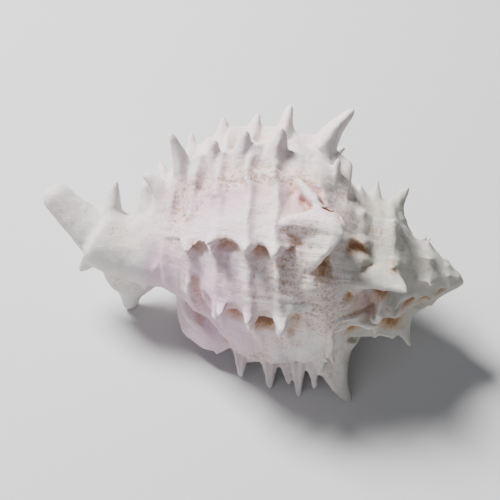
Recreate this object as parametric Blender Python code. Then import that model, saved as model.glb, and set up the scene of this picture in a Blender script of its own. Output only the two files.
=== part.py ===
"""Murex shell, one grown piece: coiled body, spire, spined varices, recurved canal and open aperture.

The shell lies on its aperture side. X runs along the shell's axis, with the apex at +X, and +Z is up.
Angles are measured round the axis: 0 points to the front (-Y), 90 up (+Z) and 180 to the back (+Y).
The whorls grow with increasing angle, so one turn earlier is the same angle less 360.
Stations are distances from the apex along the axis. Everything is in metres after the MM factor.
"""

import bmesh
import bpy
import numpy as np

MM = 0.001

# Coiling: the whorl grows by this factor in one turn, and has scale 1 at the reference angle
GROWTH_PER_TURN = 1.9
REFERENCE_ANGLE = 57.0
LIP_ANGLE = 225.0
WHORLS = 5
APEX_X = 59.2
AXIS_HEIGHT = 27.0

# Middle of the finished shell's length and depth from the axis's own zero, which goes over the origin
MIDDLE_X, MIDDLE_Y = 0.06, 6.03

# Outline of one whorl at scale 1, from suture to neck: station from the apex, radius
OUTLINE = (
    (17.0, 0.4), (20.0, 8.0), (23.5, 12.8), (28.0, 17.0), (33.5, 21.6), (38.5, 25.2), (44.0, 26.2),
    (50.0, 26.4), (56.0, 26.0), (62.0, 24.6), (68.0, 21.8), (74.0, 17.8), (80.0, 13.6), (86.0, 9.6),
    (91.0, 6.0), (94.0, 0.4),
)
SHOULDER = 38.5
NECK = 86.0

# Spiral cords: station at scale 1, height, half width. Those at least this high carry a cusp of each rim
CORDS = (
    (38.5, 0.6, 2.2), (44.2, 0.5, 1.0), (49.6, 1.2, 1.3), (57.0, 1.2, 1.3), (65.5, 1.1, 1.3),
    (73.0, 0.8, 1.3), (80.0, 0.6, 1.3),
)
CUSP_CORD_HEIGHT = 0.55
CUSP_HALF_WIDTH = 1.9

# A rim between two cusps has this share of its height and of its overhang
HEIGHT_BETWEEN_CUSPS = 0.58
OVERHANG_BETWEEN_CUSPS = 0.25

# Rims are low from the suture to the shoulder, and fade out towards the neck: where each change starts, and
# over which length
RIM_AT_SUTURE = 0.35
RIM_RISE_STATION, RIM_RISE_LENGTH = 24.0, 12.0
RIM_END_STATION, RIM_END_LENGTH = 68.0, 16.0
ROUND_EDGE = 0.9
LEAST_FOOT = 0.2
FOOT_BETWEEN_CUSPS = 0.6
CUSP_WALL_SHARE = 0.7

# Rims and cords start a little way out from the ends of the outline: radius where they start, and length
END_RADIUS, END_LENGTH = 2.0, 6.0
LEAST_RADIUS = 3.0
CREST_LINE_EASE = 2.0

# A row whose wall has a foot wider than this is a slope instead of an overhanging edge: it widens from this
# station to the neck, and its wall lies in this share of the foot back from the edge
BUTTRESS_FOOT = 5.0
BUTTRESS_WIDENING, BUTTRESS_STATION, BUTTRESS_LENGTH = 0.5, 60.0, 12.0
BUTTRESS_SLOPE = 0.35

# Section of a rim: how the surface falls behind it, and its wall from the foot to the edge, as shares of the
# hollow's depth and of the height
FALL_BEND = 1.4
FALL_POWER = 1.5
WALL_DEPTHS = (1.2, 1.3)
WALL_DIP, WALL_RISE = 0.1, 0.4
ROUND_EDGE_SHARE = 0.3

# The two front rows end where the shoulder fold starts, and the upper one droops towards the neck
FRONT_ROWS = (16.0, 55.0)
FRONT_ROWS_STATION, FRONT_ROWS_LENGTH = 43.5, 3.5
DROOPING_ROW = 55.0
DROOP, DROOP_STATION, DROOP_LENGTH = 3.4, 66.0, 6.0

# Rows of spines on the last whorl. For each: angle; crest, as a height or as the radii of its line at
# places along X; overhang of its edge; distance from the edge to the wall's foot; depth of the hollows
# between the cords; how soon it falls on its other side; backward lean of its spines in degrees; and the
# spines, each with foot along X, tip along X, radius of the tip and half width at the foot
LAST_WHORL_ROWS = (
    (-132.0, 2.8, 1.0, 3.0, 0.5, 0.72, 4.0, ((20.0, 22.0, 24.5, 2.8),)),
    (-88.0, 3.6, 1.0, 3.0, 0.5, 0.72, 4.0, ((-22.0, -27.0, 19.0, 2.8), (22.0, 25.0, 26.5, 3.0))),
    (-47.0, (
        (-12.0, 12.0), (-8.0, 20.0), (-4.0, 26.0), (1.0, 29.5), (10.0, 31.0), (20.0, 31.5), (27.0, 31.5),
        (31.0, 26.0), (35.0, 17.0),
    ), 0.5, 3.0, 0.4, 0.5, 0.0, (
        (25.5, 33.1, 37.2, 4.8), (20.5, 22.7, 35.0, 2.2), (17.0, 18.8, 38.7, 2.4), (13.2, 15.4, 35.2, 2.1),
        (9.0, 10.3, 37.2, 2.6), (1.0, 2.0, 35.3, 2.6), (-6.5, -5.4, 30.0, 2.2),
    )),
    (-32.0, (
        (-12.0, 13.0), (-6.0, 20.0), (-1.0, 25.5), (4.5, 27.6), (10.0, 28.0), (17.0, 26.0), (24.0, 25.6),
        (29.0, 21.0),
    ), 2.2, 0.8, 2.0, 0.6, 0.0, ()),
    (16.0, 4.8, 3.4, 0.8, 2.6, 0.72, 3.0, (
        (12.5, 13.6, 31.6, 2.7), (4.0, 4.8, 31.2, 2.6), (-3.0, -2.6, 29.2, 2.4), (-11.0, -13.0, 24.7, 2.2),
    )),
    (55.0, 4.8, 3.2, 0.8, 2.4, 0.72, 5.0, (
        (10.0, 10.3, 33.2, 2.7), (2.5, 2.7, 32.8, 2.6), (-5.5, -6.8, 31.2, 2.4),
    )),
    (107.0, (
        (-27.0, 10.0), (-24.0, 15.0), (-21.0, 22.0), (-17.0, 27.0), (-14.8, 28.4), (-7.2, 29.6), (0.2, 33.0),
        (8.6, 31.6), (14.0, 30.6), (20.0, 29.0), (25.0, 25.0),
    ), 0.4, 8.0, 0.0, 0.9, 0.0, (
        (5.0, 6.1, 38.1, 4.0), (-3.4, -3.4, 35.9, 3.8), (-11.0, -11.4, 31.9, 3.4), (-17.8, -22.8, 32.0, 4.6),
        (-22.0, -30.2, 19.1, 4.0), (20.0, 21.3, 33.4, 2.2),
    )),
    (140.0, (
        (-29.0, 8.0), (-26.0, 14.0), (-23.5, 21.5), (-20.0, 26.5), (-17.2, 28.0), (-8.8, 33.0), (0.4, 34.2),
        (8.4, 33.4), (13.0, 33.4), (18.0, 31.0), (24.0, 27.0),
    ), 0.4, 6.0, 0.0, 0.9, -1.0, (
        (14.5, 22.0, 41.4, 5.2), (4.5, 5.1, 40.4, 3.6), (-3.5, -3.4, 37.1, 3.6), (-12.0, -12.6, 34.7, 3.6),
        (-19.0, -20.9, 29.4, 3.2), (-24.0, -28.6, 20.8, 3.4),
    )),
    (181.0, 5.2, 1.6, 3.0, 1.2, 0.72, 2.0, (
        (13.0, 20.0, 43.0, 4.6), (3.0, 3.5, 38.5, 3.2), (-5.0, -5.5, 37.0, 3.2), (-13.0, -14.5, 33.0, 3.0),
        (-20.0, -23.0, 26.0, 2.8),
    )),
    (225.0, 3.2, 1.0, 3.0, 0.6, 0.72, 0.0, (
        (10.0, 17.0, 38.8, 4.6), (0.0, 0.5, 38.4, 3.2), (-8.0, -9.0, 38.6, 3.2), (-16.0, -19.0, 33.0, 3.0),
        (-23.0, -27.0, 26.0, 2.8),
    )),
)

# Rows on the whorl before it, whose shoulder spines are the ones that show, in the same form
EARLIER_ROWS = (
    (-178.0, 4.6, 1.6, 3.0, 1.0, 0.72, 2.0, ((33.0, 35.5, 24.0, 2.8),)),
    (-220.0, 5.4, 1.6, 3.0, 1.0, 0.72, 0.0, (
        (36.1, 40.2, 23.1, 3.6), (31.0, 31.5, 24.4, 2.6), (38.5, 39.0, 17.2, 1.8),
    )),
    (-262.0, 5.4, 1.6, 3.0, 1.0, 0.72, 3.0, ((37.5, 39.0, 17.8, 2.4),)),
    (-307.0, 4.6, 2.0, 3.0, 2.0, 0.72, 8.0, ()),
    (-352.0, 5.4, 2.0, 3.0, 1.6, 0.72, 4.0, ()),
    (-393.0, (
        (24.0, 17.0), (28.0, 19.0), (31.0, 20.0), (36.0, 18.7), (41.0, 16.5), (46.0, 11.0), (50.0, 8.0),
    ), 1.2, 3.0, 0.8, 0.5, 2.0, ((43.0, 46.4, 19.6, 3.2), (37.0, 36.8, 18.8, 2.0))),
    (-438.0, 6.0, 2.0, 3.0, 1.6, 0.72, 2.0, ((44.0, 45.5, 14.0, 2.0),)),
    (-482.0, 6.0, 2.0, 3.0, 1.6, 0.72, 2.0, ((43.5, 44.5, 14.0, 2.0),)),
)

# Rows further up the spire, each with one knob at the shoulder: crest height, overhang, foot, hollow and
# fall, then the step between rows, and the knob's height and half length along X
SPIRE_ROW = (6.4, 2.0, 3.0, 1.6, 0.72)
SPIRE_ROW_STEP = 42.0
SPIRE_FADE_TURN = 200.0
KNOB_HEIGHT = 6.0
KNOB_HALF_LENGTH = 4.5

# Spines: how deep their feet are sunk, how far the steep rows' spines are drawn out to a blade, and the tips
SPINE_SINK = 1.5
BLADE_SINK = 6.0
BLADE = 1.3
PLAIN_BLADE = 0.3
BLADE_NARROWING = 0.45
BLADE_POWER = 1.5
TIP_SHARE, TIP_LEAST = 0.16, 0.4
TIP_END_SHARE = 0.45
FLARE, FLARE_POWER = 0.5, 6

# Siphonal canal: centre line as X, Y, Z from the axis, and radius. Then its rounded end, as places along the
# end's length with the share of the radius left there
CANAL = (
    (-12.0, -1.0, -1.0, 12.5), (-20.0, -2.0, -2.5, 11.0), (-26.0, -2.8, -3.6, 9.4), (-31.0, -3.0, -3.8, 8.0),
    (-37.0, -2.6, -2.6, 7.4), (-43.0, -1.6, 0.2, 6.4), (-49.0, 0.2, 4.2, 5.0), (-54.4, 2.2, 8.6, 4.0),
)
CANAL_END_LENGTH = 2.4
CANAL_END = ((0.55, 0.8), (1.0, 0.42))

# Spines and worn stumps of older canals round the neck: foot and tip, from the axis, half width, tip width
NECK_SPINES = (
    ((-40.0, 0.0, 1.0), (-37.3, 8.0, 13.5), 3.4, 0.7),
    ((-31.5, 0.5, 2.0), (-31.5, 7.5, 9.5), 2.4, 0.6),
    ((-27.0, 0.0, 2.0), (-30.0, 7.5, 14.0), 4.0, 0.9),
    ((-41.0, -3.0, -5.0), (-47.6, -6.2, -12.6), 4.2, 0.7),
    ((-29.5, -4.0, -2.0), (-27.7, -10.2, -11.2), 4.0, 0.8),
    ((-32.5, -2.5, -6.0), (-34.2, -5.4, -27.4), 8.0, 1.5),
    ((-33.0, -2.5, -4.0), (-33.8, -4.4, -16.5), 8.6, 6.6),
    ((-26.5, 2.0, -6.0), (-29.0, 8.0, -15.0), 3.4, 1.2),
)

# Shoulder fold of the middle row and a worn knob below it: foot and tip as X, angle, radius, then half width
# and tip width
FOLDS = (
    ((8.0, 66.0, 22.5), (25.4, 66.0, 30.2), 6.6, 2.6),
    ((18.5, 32.0, 21.0), (20.2, 37.0, 26.6), 3.4, 1.5),
)
FOLD_BULGE = 0.35

# Raised edges: half thickness, then their outer and inner lines, with points as X, angle, radius. They are
# the keel above the fold, the fold's lower lip, its thin upper lip, the shelf of the whorl before, a fin
# under it, and the edge where the last whorl lies on the one before
RAISED_EDGES = (
    (1.2, (
        (12.0, 92.5, 30.0), (14.2, 87.0, 30.6), (16.7, 81.7, 30.8), (18.8, 77.8, 30.2), (20.5, 74.0, 29.0),
    ), (
        (12.0, 92.5, 24.0), (14.2, 87.0, 24.0), (16.7, 82.0, 24.0), (18.8, 78.5, 24.0), (20.5, 76.0, 24.0),
    )),
    (1.6, (
        (25.9, 65.6, 30.2), (25.4, 60.5, 30.7), (23.8, 56.5, 30.4), (21.3, 52.3, 29.2), (19.3, 47.6, 26.8),
    ), (
        (19.0, 66.0, 27.0), (18.5, 63.0, 26.5), (17.0, 58.0, 25.0), (16.0, 52.0, 24.0), (15.0, 46.0, 23.5),
    )),
    (0.9, (
        (19.1, 80.0, 29.4), (22.1, 76.6, 30.0), (24.4, 73.0, 30.1), (25.9, 68.4, 30.0),
    ), (
        (19.1, 79.0, 24.0), (21.5, 75.0, 24.5), (23.0, 72.0, 25.5), (24.5, 68.4, 26.5),
    )),
    (1.3, (
        (27.2, 28.8, 17.0), (29.3, 32.5, 18.4), (32.5, 34.3, 19.4), (36.3, 36.0, 20.4), (40.1, 36.0, 21.0),
        (43.8, 37.1, 21.4),
    ), (
        (27.7, 36.4, 14.0), (30.0, 43.0, 15.5), (33.0, 50.4, 15.5), (36.2, 57.8, 14.0), (39.4, 53.5, 14.0),
        (42.3, 44.2, 17.5),
    )),
    (0.9, (
        (37.4, 31.8, 18.6), (37.0, 23.6, 19.0), (36.7, 14.1, 19.4), (36.1, 0.3, 19.6), (36.6, -16.0, 19.8),
    ), (
        (37.4, 31.8, 11.0), (37.4, 23.6, 11.0), (37.4, 14.1, 11.0), (37.0, 0.3, 11.0), (37.0, -16.0, 12.0),
    )),
    (0.9, (
        (29.5, 9.0, 18.0), (27.8, 3.0, 19.6), (26.1, -4.0, 21.2), (25.4, -15.0, 22.6), (26.0, -25.0, 24.6),
        (27.6, -35.0, 27.5),
    ), (
        (26.0, 12.0, 16.0), (24.5, 4.0, 17.0), (23.0, -4.0, 18.0), (22.5, -15.0, 19.0), (23.0, -25.0, 20.0),
        (24.0, -35.0, 22.0),
    )),
)

# Swollen flange beside the aperture and flare of the canal, in the same form but with points as X, Y, Z from
# the axis
FLARES = (
    (2.4, (
        (-20.3, -2.0, -20.0), (-19.4, -6.0, -21.0), (-17.4, -11.5, -21.0), (-14.4, -16.4, -21.0),
        (-9.8, -19.6, -21.2), (-4.5, -20.2, -21.0),
    ), (
        (-14.0, -4.0, -5.0), (-11.5, -7.0, -8.0), (-8.0, -11.0, -10.0), (-4.0, -14.0, -12.0),
        (1.0, -16.0, -13.5), (6.0, -17.0, -15.0),
    )),
    (2.6, (
        (-46.0, -6.0, -11.0), (-42.0, -6.0, -12.4), (-38.5, -6.0, -14.5), (-35.0, -6.0, -17.5),
    ), (
        (-44.0, 1.5, -3.0), (-40.0, 1.0, -5.0), (-36.0, 0.0, -6.0), (-31.0, 0.0, -7.0),
    )),
)

# Aperture: hollow inside the last whorl, from the lip back, as angle, radius, X, half size out and along.
# Its radius falls towards the canal by the tilt, as the whorl's own does
APERTURE = (
    (245.0, 21.0, -6.5, 10.0, 17.5), (226.0, 21.4, -6.0, 8.8, 16.5), (205.0, 21.4, -5.0, 8.0, 14.5),
    (180.0, 20.8, -4.0, 6.8, 12.0), (155.0, 20.0, -3.0, 5.0, 9.0), (135.0, 19.4, -2.0, 2.6, 5.0),
)
APERTURE_TILT = 0.35

# Channel of the canal, open below: from the aperture to the canal's end, with its radius
CHANNEL = (
    (-16.0, 6.0, -14.5, 3.6), (-26.0, 1.5, -11.0, 2.8), (-38.0, -0.8, -8.6, 2.2), (-50.0, 0.6, -1.6, 1.6),
)

# Raised edge of the inner lip, as X, Y, Z from the axis, with its half thickness, its ends in its own half
# turn and the way that its section faces
INNER_LIP = (
    (10.0, -12.5, -17.5), (3.0, -16.0, -18.5), (-5.0, -17.5, -18.0), (-11.0, -15.5, -15.5),
    (-15.5, -12.0, -13.0), (-18.0, -8.0, -9.0),
)
INNER_LIP_THICKNESS = 2.4
INNER_LIP_END = 0.15
INNER_LIP_SIDE = (0.0, 0.6, 0.8)

# Ends of a raised edge in its own half turn, and how full its section and its length are
PLATE_END = 0.35
PLATE_FULLNESS = 0.4
PLATE_FLATNESS = 0.7

# How finely the form is sampled, how many faces stay, and which of their edges are sharp
CURVE_STEPS = 24
OUTLINE_STEPS = 140
FALL_STEPS, WALL_STEPS = 10, 12
HORN_STEPS, HORN_SIDES = 10, 16
PLATE_STEPS, PLATE_SIDES = 16, 14
CANAL_STEPS, CANAL_SIDES = 26, 20
LIP_STEPS, LIP_SIDES = 18, 12
APERTURE_STEPS, APERTURE_SIDES = 16, 22
CHANNEL_STEPS, CHANNEL_SIDES = 14, 10
VOXEL = 0.7
FACES = 9300
SHARP_ANGLE = 50.0
FLOOR_BLOCK = 0.4


def smooth_path(points, count):
    """Catmull-Rom curve through the points, at evenly spread places."""
    p = np.array(points, float)
    p = np.vstack([2 * p[0] - p[1], p, 2 * p[-1] - p[-2]])
    fine = []
    for i in range(1, len(p) - 2):
        t = np.linspace(0, 1, CURVE_STEPS, endpoint=False)[:, None]
        a, b, c, d = p[i - 1], p[i], p[i + 1], p[i + 2]
        square = 2 * a - 5 * b + 4 * c - d
        cube = 3 * b - a - 3 * c + d
        fine.append(0.5 * (2 * b + (c - a) * t + square * t**2 + cube * t**3))
    fine = np.vstack(fine + [p[-2][None]])
    length = np.concatenate([[0], np.cumsum(np.linalg.norm(np.diff(fine, axis=0), axis=1))])
    at = np.linspace(0, length[-1], count)
    return np.column_stack([np.interp(at, length, fine[:, k]) for k in range(fine.shape[1])])


def smoothstep(x):
    x = np.clip(x, 0, 1)
    return x * x * (3 - 2 * x)


def bezier(a, b, c, d, u):
    return (1 - u) ** 3 * a + 3 * u * (1 - u) ** 2 * b + 3 * u**2 * (1 - u) * c + u**3 * d


def whorl_scale(angle):
    return GROWTH_PER_TURN ** ((angle - REFERENCE_ANGLE) / 360)


def share_of_scale(station):
    """The shoulder grows with the whorl, and the neck keeps its place: 1 at the shoulder, 0 at the neck."""
    return 1 - smoothstep((station - SHOULDER) / (NECK - SHOULDER))


def outward(angle):
    a = np.radians(angle)
    return np.stack([np.zeros_like(a), -np.cos(a), np.sin(a)], -1)


def onward(angle):
    a = np.radians(angle)
    return np.stack([np.zeros_like(a), np.sin(a), np.cos(a)], -1)


def polar(points):
    """Places in space of points given as X, angle, radius."""
    p = np.array(points, float)
    made = outward(p[..., 1]) * p[..., 2:3]
    made[..., 0] += p[..., 0]
    return made


def varix_rows():
    """Every varix from the first turn of the spire to the lip, without its spines."""
    known = [row[:6] for row in EARLIER_ROWS + LAST_WHORL_ROWS]
    first = LIP_ANGLE - 360 * WHORLS
    spire = np.arange(known[0][0] - SPIRE_ROW_STEP, first, -SPIRE_ROW_STEP)[::-1]
    return [(angle,) + SPIRE_ROW for angle in spire] + known


def rim_along(station):
    rise = smoothstep((station - RIM_RISE_STATION) / RIM_RISE_LENGTH)
    end = smoothstep((station - RIM_END_STATION) / RIM_END_LENGTH)
    return np.clip(RIM_AT_SUTURE + (1 - RIM_AT_SUTURE) * rise - end, 0, 1)


def cord_height(station):
    total = np.zeros_like(station)
    for centre, height, half_width in CORDS:
        total += height * np.exp(-(((station - centre) / half_width) ** 2))
    return total


def cusps(station):
    """1 on a cord that carries a cusp, 0 midway between two."""
    total = np.zeros_like(station)
    for centre, height, _ in CORDS:
        if height > CUSP_CORD_HEIGHT:
            total += np.exp(-(((station - centre) / CUSP_HALF_WIDTH) ** 2))
    return np.clip(total, 0, 1)


def rim_shape(row, station, radius):
    """One varix at every station: scale, height, overhang, foot, hollow, radius without it, and its fall."""
    angle, crest, overhang, foot, hollow, fall = row
    scale = whorl_scale(angle) ** share_of_scale(station)
    edge = smoothstep((radius - END_RADIUS) / END_LENGTH)
    plain = np.maximum(scale * radius, LEAST_RADIUS)
    cusp = cusps(station)
    if isinstance(crest, tuple):
        line = np.array(crest)
        line_radius = np.interp(APEX_X - station * scale, line[:, 0], line[:, 1], left=0, right=0)
        above = line_radius - plain - scale * cord_height(station)
        size = scale * edge * np.clip(above / CREST_LINE_EASE, 0, 1)
        height = np.clip(above, 0, None) * edge
    else:
        size = scale * edge * rim_along(station)
        if angle in FRONT_ROWS:
            size = size * smoothstep((station - FRONT_ROWS_STATION) / FRONT_ROWS_LENGTH)
        height = size * crest * (HEIGHT_BETWEEN_CUSPS + (1 - HEIGHT_BETWEEN_CUSPS) * cusp)
    over = size * overhang * (OVERHANG_BETWEEN_CUSPS + (1 - OVERHANG_BETWEEN_CUSPS) * cusp)
    if angle == DROOPING_ROW:
        over = over + DROOP * smoothstep((station - DROOP_STATION) / DROOP_LENGTH) * size
    before = size * foot * (FOOT_BETWEEN_CUSPS + (1 - FOOT_BETWEEN_CUSPS) * cusp) + LEAST_FOOT
    inside = size * hollow * (1 - cusp) - over * CUSP_WALL_SHARE * cusp
    if foot > BUTTRESS_FOOT:
        widening = smoothstep((station - BUTTRESS_STATION) / BUTTRESS_LENGTH)
        before = before * (1 + BUTTRESS_WIDENING * widening)
        inside = inside - BUTTRESS_SLOPE * before
    return scale, height, over, before, inside, plain, fall


def knob(angle, scale, station):
    """Height of a spire row's knob. There are none on the last two whorls."""
    on_spire = smoothstep((EARLIER_ROWS[0][0] - angle) / SPIRE_FADE_TURN)
    return on_spire * scale * KNOB_HEIGHT * np.exp(-(((station - SHOULDER) / KNOB_HALF_LENGTH) ** 2))


def whorl_surface(outline):
    """Grid of points on the coiled surface, measured from the shell's axis.

    Between two varices the surface falls gently from the first, comes to the foot of the next and goes up
    its wall, which is hollow between the cords and hangs over at its edge.
    """
    station, radius = outline[None, :, 0], outline[None, :, 1]
    edge = smoothstep((radius - END_RADIUS) / END_LENGTH)
    sections = []

    def add(angle, scale, height):
        r = scale * radius + edge * (height + scale * cord_height(station))
        at = outward(angle) * r[..., None]
        at[..., 0] += APEX_X - station * scale
        sections.append(at)

    known = varix_rows()
    q = np.linspace(0, 1, FALL_STEPS, endpoint=False)[:, None]
    q = (q + q**FALL_BEND) / 2
    u = np.linspace(0, 1, WALL_STEPS, endpoint=False)[:, None]
    for row, after in zip(known[:-1], known[1:]):
        _, height, over, _, _, plain, fall = rim_shape(row, station, radius)
        after_shape = rim_shape(after, station, radius)
        after_scale, after_height, after_over, foot, inside, after_plain, _ = after_shape
        start = row[0] - np.degrees(over / plain)
        end = after[0] - np.degrees((after_over + foot) / after_plain)
        angle = start + (end - start) * q
        scale = whorl_scale(angle) ** share_of_scale(station)
        gone = np.clip(1 - q / fall, 0, 1) ** FALL_POWER
        add(angle, scale, (height + knob(angle, scale, station)) * gone)
        near, far = WALL_DEPTHS
        shift = bezier(-(after_over + foot), near * inside, far * inside, -after_over, u)
        top = after_height - np.minimum(ROUND_EDGE * after_scale, ROUND_EDGE_SHARE * after_height)
        dip = -WALL_DIP * after_height * (1 - cusps(station)) * (inside > 0)
        rise = bezier(0.0, dip, WALL_RISE * after_height, top, u)
        own_knob = knob(after[0], after_scale, station) * u**FALL_POWER
        add(after[0] + np.degrees(shift / after_plain), after_scale, rise + own_knob)
    scale, height, over, _, _, plain, _ = rim_shape(known[-1], station, radius)
    add(known[-1][0] - np.degrees(over / plain), scale, height)
    return np.concatenate(sections)


def surface_radius(angle, x, outline):
    scale = whorl_scale(angle) ** share_of_scale(outline[:, 0])
    return float(np.interp(APEX_X - x, outline[:, 0] * scale, outline[:, 1] * scale))


def closed_grid(points):
    """Vertices and faces of a solid from a grid of rings that are already whole cross-sections."""
    rings, sides = points.shape[:2]
    index = np.arange(rings * sides).reshape(rings, sides)
    a, b = index[:-1], index[1:]
    quads = np.stack([a, np.roll(a, -1, 1), np.roll(b, -1, 1), b], -1).reshape(-1, 4)
    faces = quads.tolist() + [index[0][::-1].tolist(), index[-1].tolist()]
    return points.reshape(-1, 3), faces


def tapered(path, widths, side, blade, sides):
    """Solid along a path. Widths are half widths along side, and blade draws out its back at each point."""
    path = np.array(path, float)
    turn = np.linspace(0, 2 * np.pi, sides, endpoint=False)
    c, s = np.cos(turn), np.sin(turn)
    rings = []
    for i, (centre, width, drawn) in enumerate(zip(path, widths, blade)):
        direction = path[min(i + 1, len(path) - 1)] - path[max(i - 1, 0)]
        direction = direction / np.linalg.norm(direction)
        across = side - direction * (side @ direction)
        across = across / np.linalg.norm(across)
        deep = np.cross(direction, across)
        x = np.where((s < 0) & (drawn > 1), c * (1 - BLADE_NARROWING * s * s), c)
        y = np.where(s < 0, s * drawn, s)
        rings.append(centre + width * (x[:, None] * across + y[:, None] * deep))
    return closed_grid(np.array(rings))


def horn(foot, tip, way, half_width, tip_width, side, blade=0.0):
    """Spine from foot to tip: it leaves the surface squarely, flares at its foot and ends rounded."""
    foot, tip = np.array(foot, float), np.array(tip, float)
    bend = foot + way * np.linalg.norm(tip - foot) / 2
    s = np.linspace(0, 1, HORN_STEPS)[:, None]
    path = (1 - s) ** 2 * foot + 2 * s * (1 - s) * bend + s**2 * tip
    s = s[:, 0]
    widths = tip_width + (half_width - tip_width) * (1 - s) + half_width * FLARE * (1 - s) ** FLARE_POWER
    widths[-1] = tip_width * TIP_END_SHARE
    return tapered(path, widths, side, 1 + blade * (1 - s) ** BLADE_POWER, HORN_SIDES)


def plate(outer, inner, thickness):
    """Thin solid with rounded edges between two lines."""
    outer, inner = smooth_path(outer, PLATE_STEPS), smooth_path(inner, PLATE_STEPS)
    turn = np.linspace(0, 2 * np.pi, PLATE_SIDES, endpoint=False)
    middle, across = (outer + inner) / 2, (outer - inner) / 2
    flat = np.cross(np.gradient(middle, axis=0), across)
    flat = flat / np.linalg.norm(flat, axis=1)[:, None]
    swell = thickness * np.sin(np.linspace(PLATE_END, np.pi - PLATE_END, PLATE_STEPS)) ** PLATE_FULLNESS
    wide = np.sign(np.cos(turn)) * np.abs(np.cos(turn)) ** PLATE_FLATNESS
    rings = middle[:, None] + across[:, None] * wide[None, :, None]
    rings = rings + flat[:, None] * swell[:, None, None] * np.sin(turn)[None, :, None]
    return closed_grid(rings)


def row_spines(outline):
    along = np.array([1.0, 0.0, 0.0])
    for angle, _, _, wall_foot, _, _, lean, spines in EARLIER_ROWS + LAST_WHORL_ROWS:
        steep = wall_foot > BUTTRESS_FOOT
        sink, blade = (BLADE_SINK, BLADE) if steep else (SPINE_SINK, PLAIN_BLADE)
        for foot_x, tip_x, tip_radius, half_width in spines:
            out = outward(np.array(angle))
            foot = out * (surface_radius(angle, foot_x, outline) - sink) + along * foot_x
            tip = outward(np.array(angle - lean)) * tip_radius + along * tip_x
            yield horn(foot, tip, out, half_width, TIP_SHARE * half_width + TIP_LEAST, along, blade)


def free_spines():
    for foot, tip, half_width, tip_width in NECK_SPINES:
        way = np.array(tip) - np.array(foot)
        yield horn(foot, tip, way / np.linalg.norm(way), half_width, tip_width, np.array([1.0, 0.0, 0.0]))
    for foot, tip, half_width, tip_width in FOLDS:
        at, end = polar(foot), polar(tip)
        way = (end - at) / np.linalg.norm(end - at) + FOLD_BULGE * outward(np.array(foot[1]))
        yield horn(at, end, way / np.linalg.norm(way), half_width, tip_width, onward(np.array(foot[1])))


def plates():
    for thickness, outer, inner in RAISED_EDGES:
        yield plate(polar(outer), polar(inner), thickness)
    for thickness, outer, inner in FLARES:
        yield plate(outer, inner, thickness)


def canal():
    line = smooth_path(CANAL, CANAL_STEPS)
    path, widths = line[:, :3], line[:, 3]
    onwards = (path[-1] - path[-2]) / np.linalg.norm(path[-1] - path[-2]) * CANAL_END_LENGTH
    end_path = [path[-1] + onwards * place for place, _ in CANAL_END]
    end_widths = [widths[-1] * share for _, share in CANAL_END]
    path, widths = np.vstack([path, end_path]), np.concatenate([widths, end_widths])
    return tapered(path, widths, np.array([0.0, 1.0, 0.0]), np.ones(len(path)), CANAL_SIDES)


def inner_lip():
    line = smooth_path(INNER_LIP, LIP_STEPS)
    half_turn = np.linspace(INNER_LIP_END, np.pi - INNER_LIP_END, LIP_STEPS)
    widths = INNER_LIP_THICKNESS * np.sqrt(np.sin(half_turn))
    return tapered(line, widths, np.array(INNER_LIP_SIDE), np.ones(LIP_STEPS), LIP_SIDES)


def aperture_hollow():
    turn = np.linspace(0, 2 * np.pi, APERTURE_SIDES, endpoint=False)
    rings = []
    for angle, radius, x, out_size, along_size in smooth_path(APERTURE, APERTURE_STEPS):
        along = along_size * np.sin(turn)
        ring = outward(np.array(angle)) * (radius + out_size * np.cos(turn) + APERTURE_TILT * along)[:, None]
        ring[:, 0] += x + along
        rings.append(ring)
    return closed_grid(np.array(rings))


def channel():
    line = smooth_path(CHANNEL, CHANNEL_STEPS)
    return tapered(line[:, :3], line[:, 3], np.array([0.0, 1.0, 0.0]), np.ones(len(line)), CHANNEL_SIDES)


def faces_outward(mesh):
    edit = bmesh.new()
    edit.from_mesh(mesh)
    bmesh.ops.recalc_face_normals(edit, faces=edit.faces)
    edit.to_mesh(mesh)
    edit.free()


def mesh_object(name, pieces, material=None):
    """One object from several closed pieces, raised so that the shell stands on the floor."""
    vertices, faces = [], []
    for points, piece_faces in pieces:
        start = len(vertices)
        vertices += (points * MM).tolist()
        faces += [[start + i for i in face] for face in piece_faces]
    mesh = bpy.data.meshes.new(name)
    mesh.from_pydata(vertices, [], faces)
    faces_outward(mesh)
    made = bpy.data.objects.new(name, mesh)
    bpy.context.collection.objects.link(made)
    made.location = (-MIDDLE_X * MM, -MIDDLE_Y * MM, AXIS_HEIGHT * MM)
    if material:
        mesh.materials.append(material)
    return made


def shell_material():
    material = bpy.data.materials.new("worn_shell")
    material.use_nodes = True
    shader = material.node_tree.nodes["Principled BSDF"]
    shader.inputs["Base Color"].default_value = (0.80, 0.76, 0.74, 1.0)
    shader.inputs["Roughness"].default_value = 0.75
    shader.inputs["Metallic"].default_value = 0.0
    return material


def use_only(target):
    bpy.ops.object.select_all(action="DESELECT")
    bpy.context.view_layer.objects.active = target
    target.select_set(True)


def apply_modifiers(target):
    use_only(target)
    for modifier in list(target.modifiers):
        bpy.ops.object.modifier_apply(modifier=modifier.name)


def fuse(target):
    remesh = target.modifiers.new("Fuse", "REMESH")
    remesh.mode = "VOXEL"
    remesh.voxel_size = VOXEL * MM
    apply_modifiers(target)


def cut(target, cutter):
    boolean = target.modifiers.new("Cut", "BOOLEAN")
    boolean.operation = "DIFFERENCE"
    boolean.solver = "EXACT"
    boolean.object = cutter
    apply_modifiers(target)
    bpy.data.objects.remove(cutter)


def floor_block():
    """Everything below the floor, which takes the last bit off the spines that the shell stands on."""
    bpy.ops.mesh.primitive_cube_add(size=FLOOR_BLOCK, location=(0, 0, -FLOOR_BLOCK / 2))
    return bpy.context.object


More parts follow.
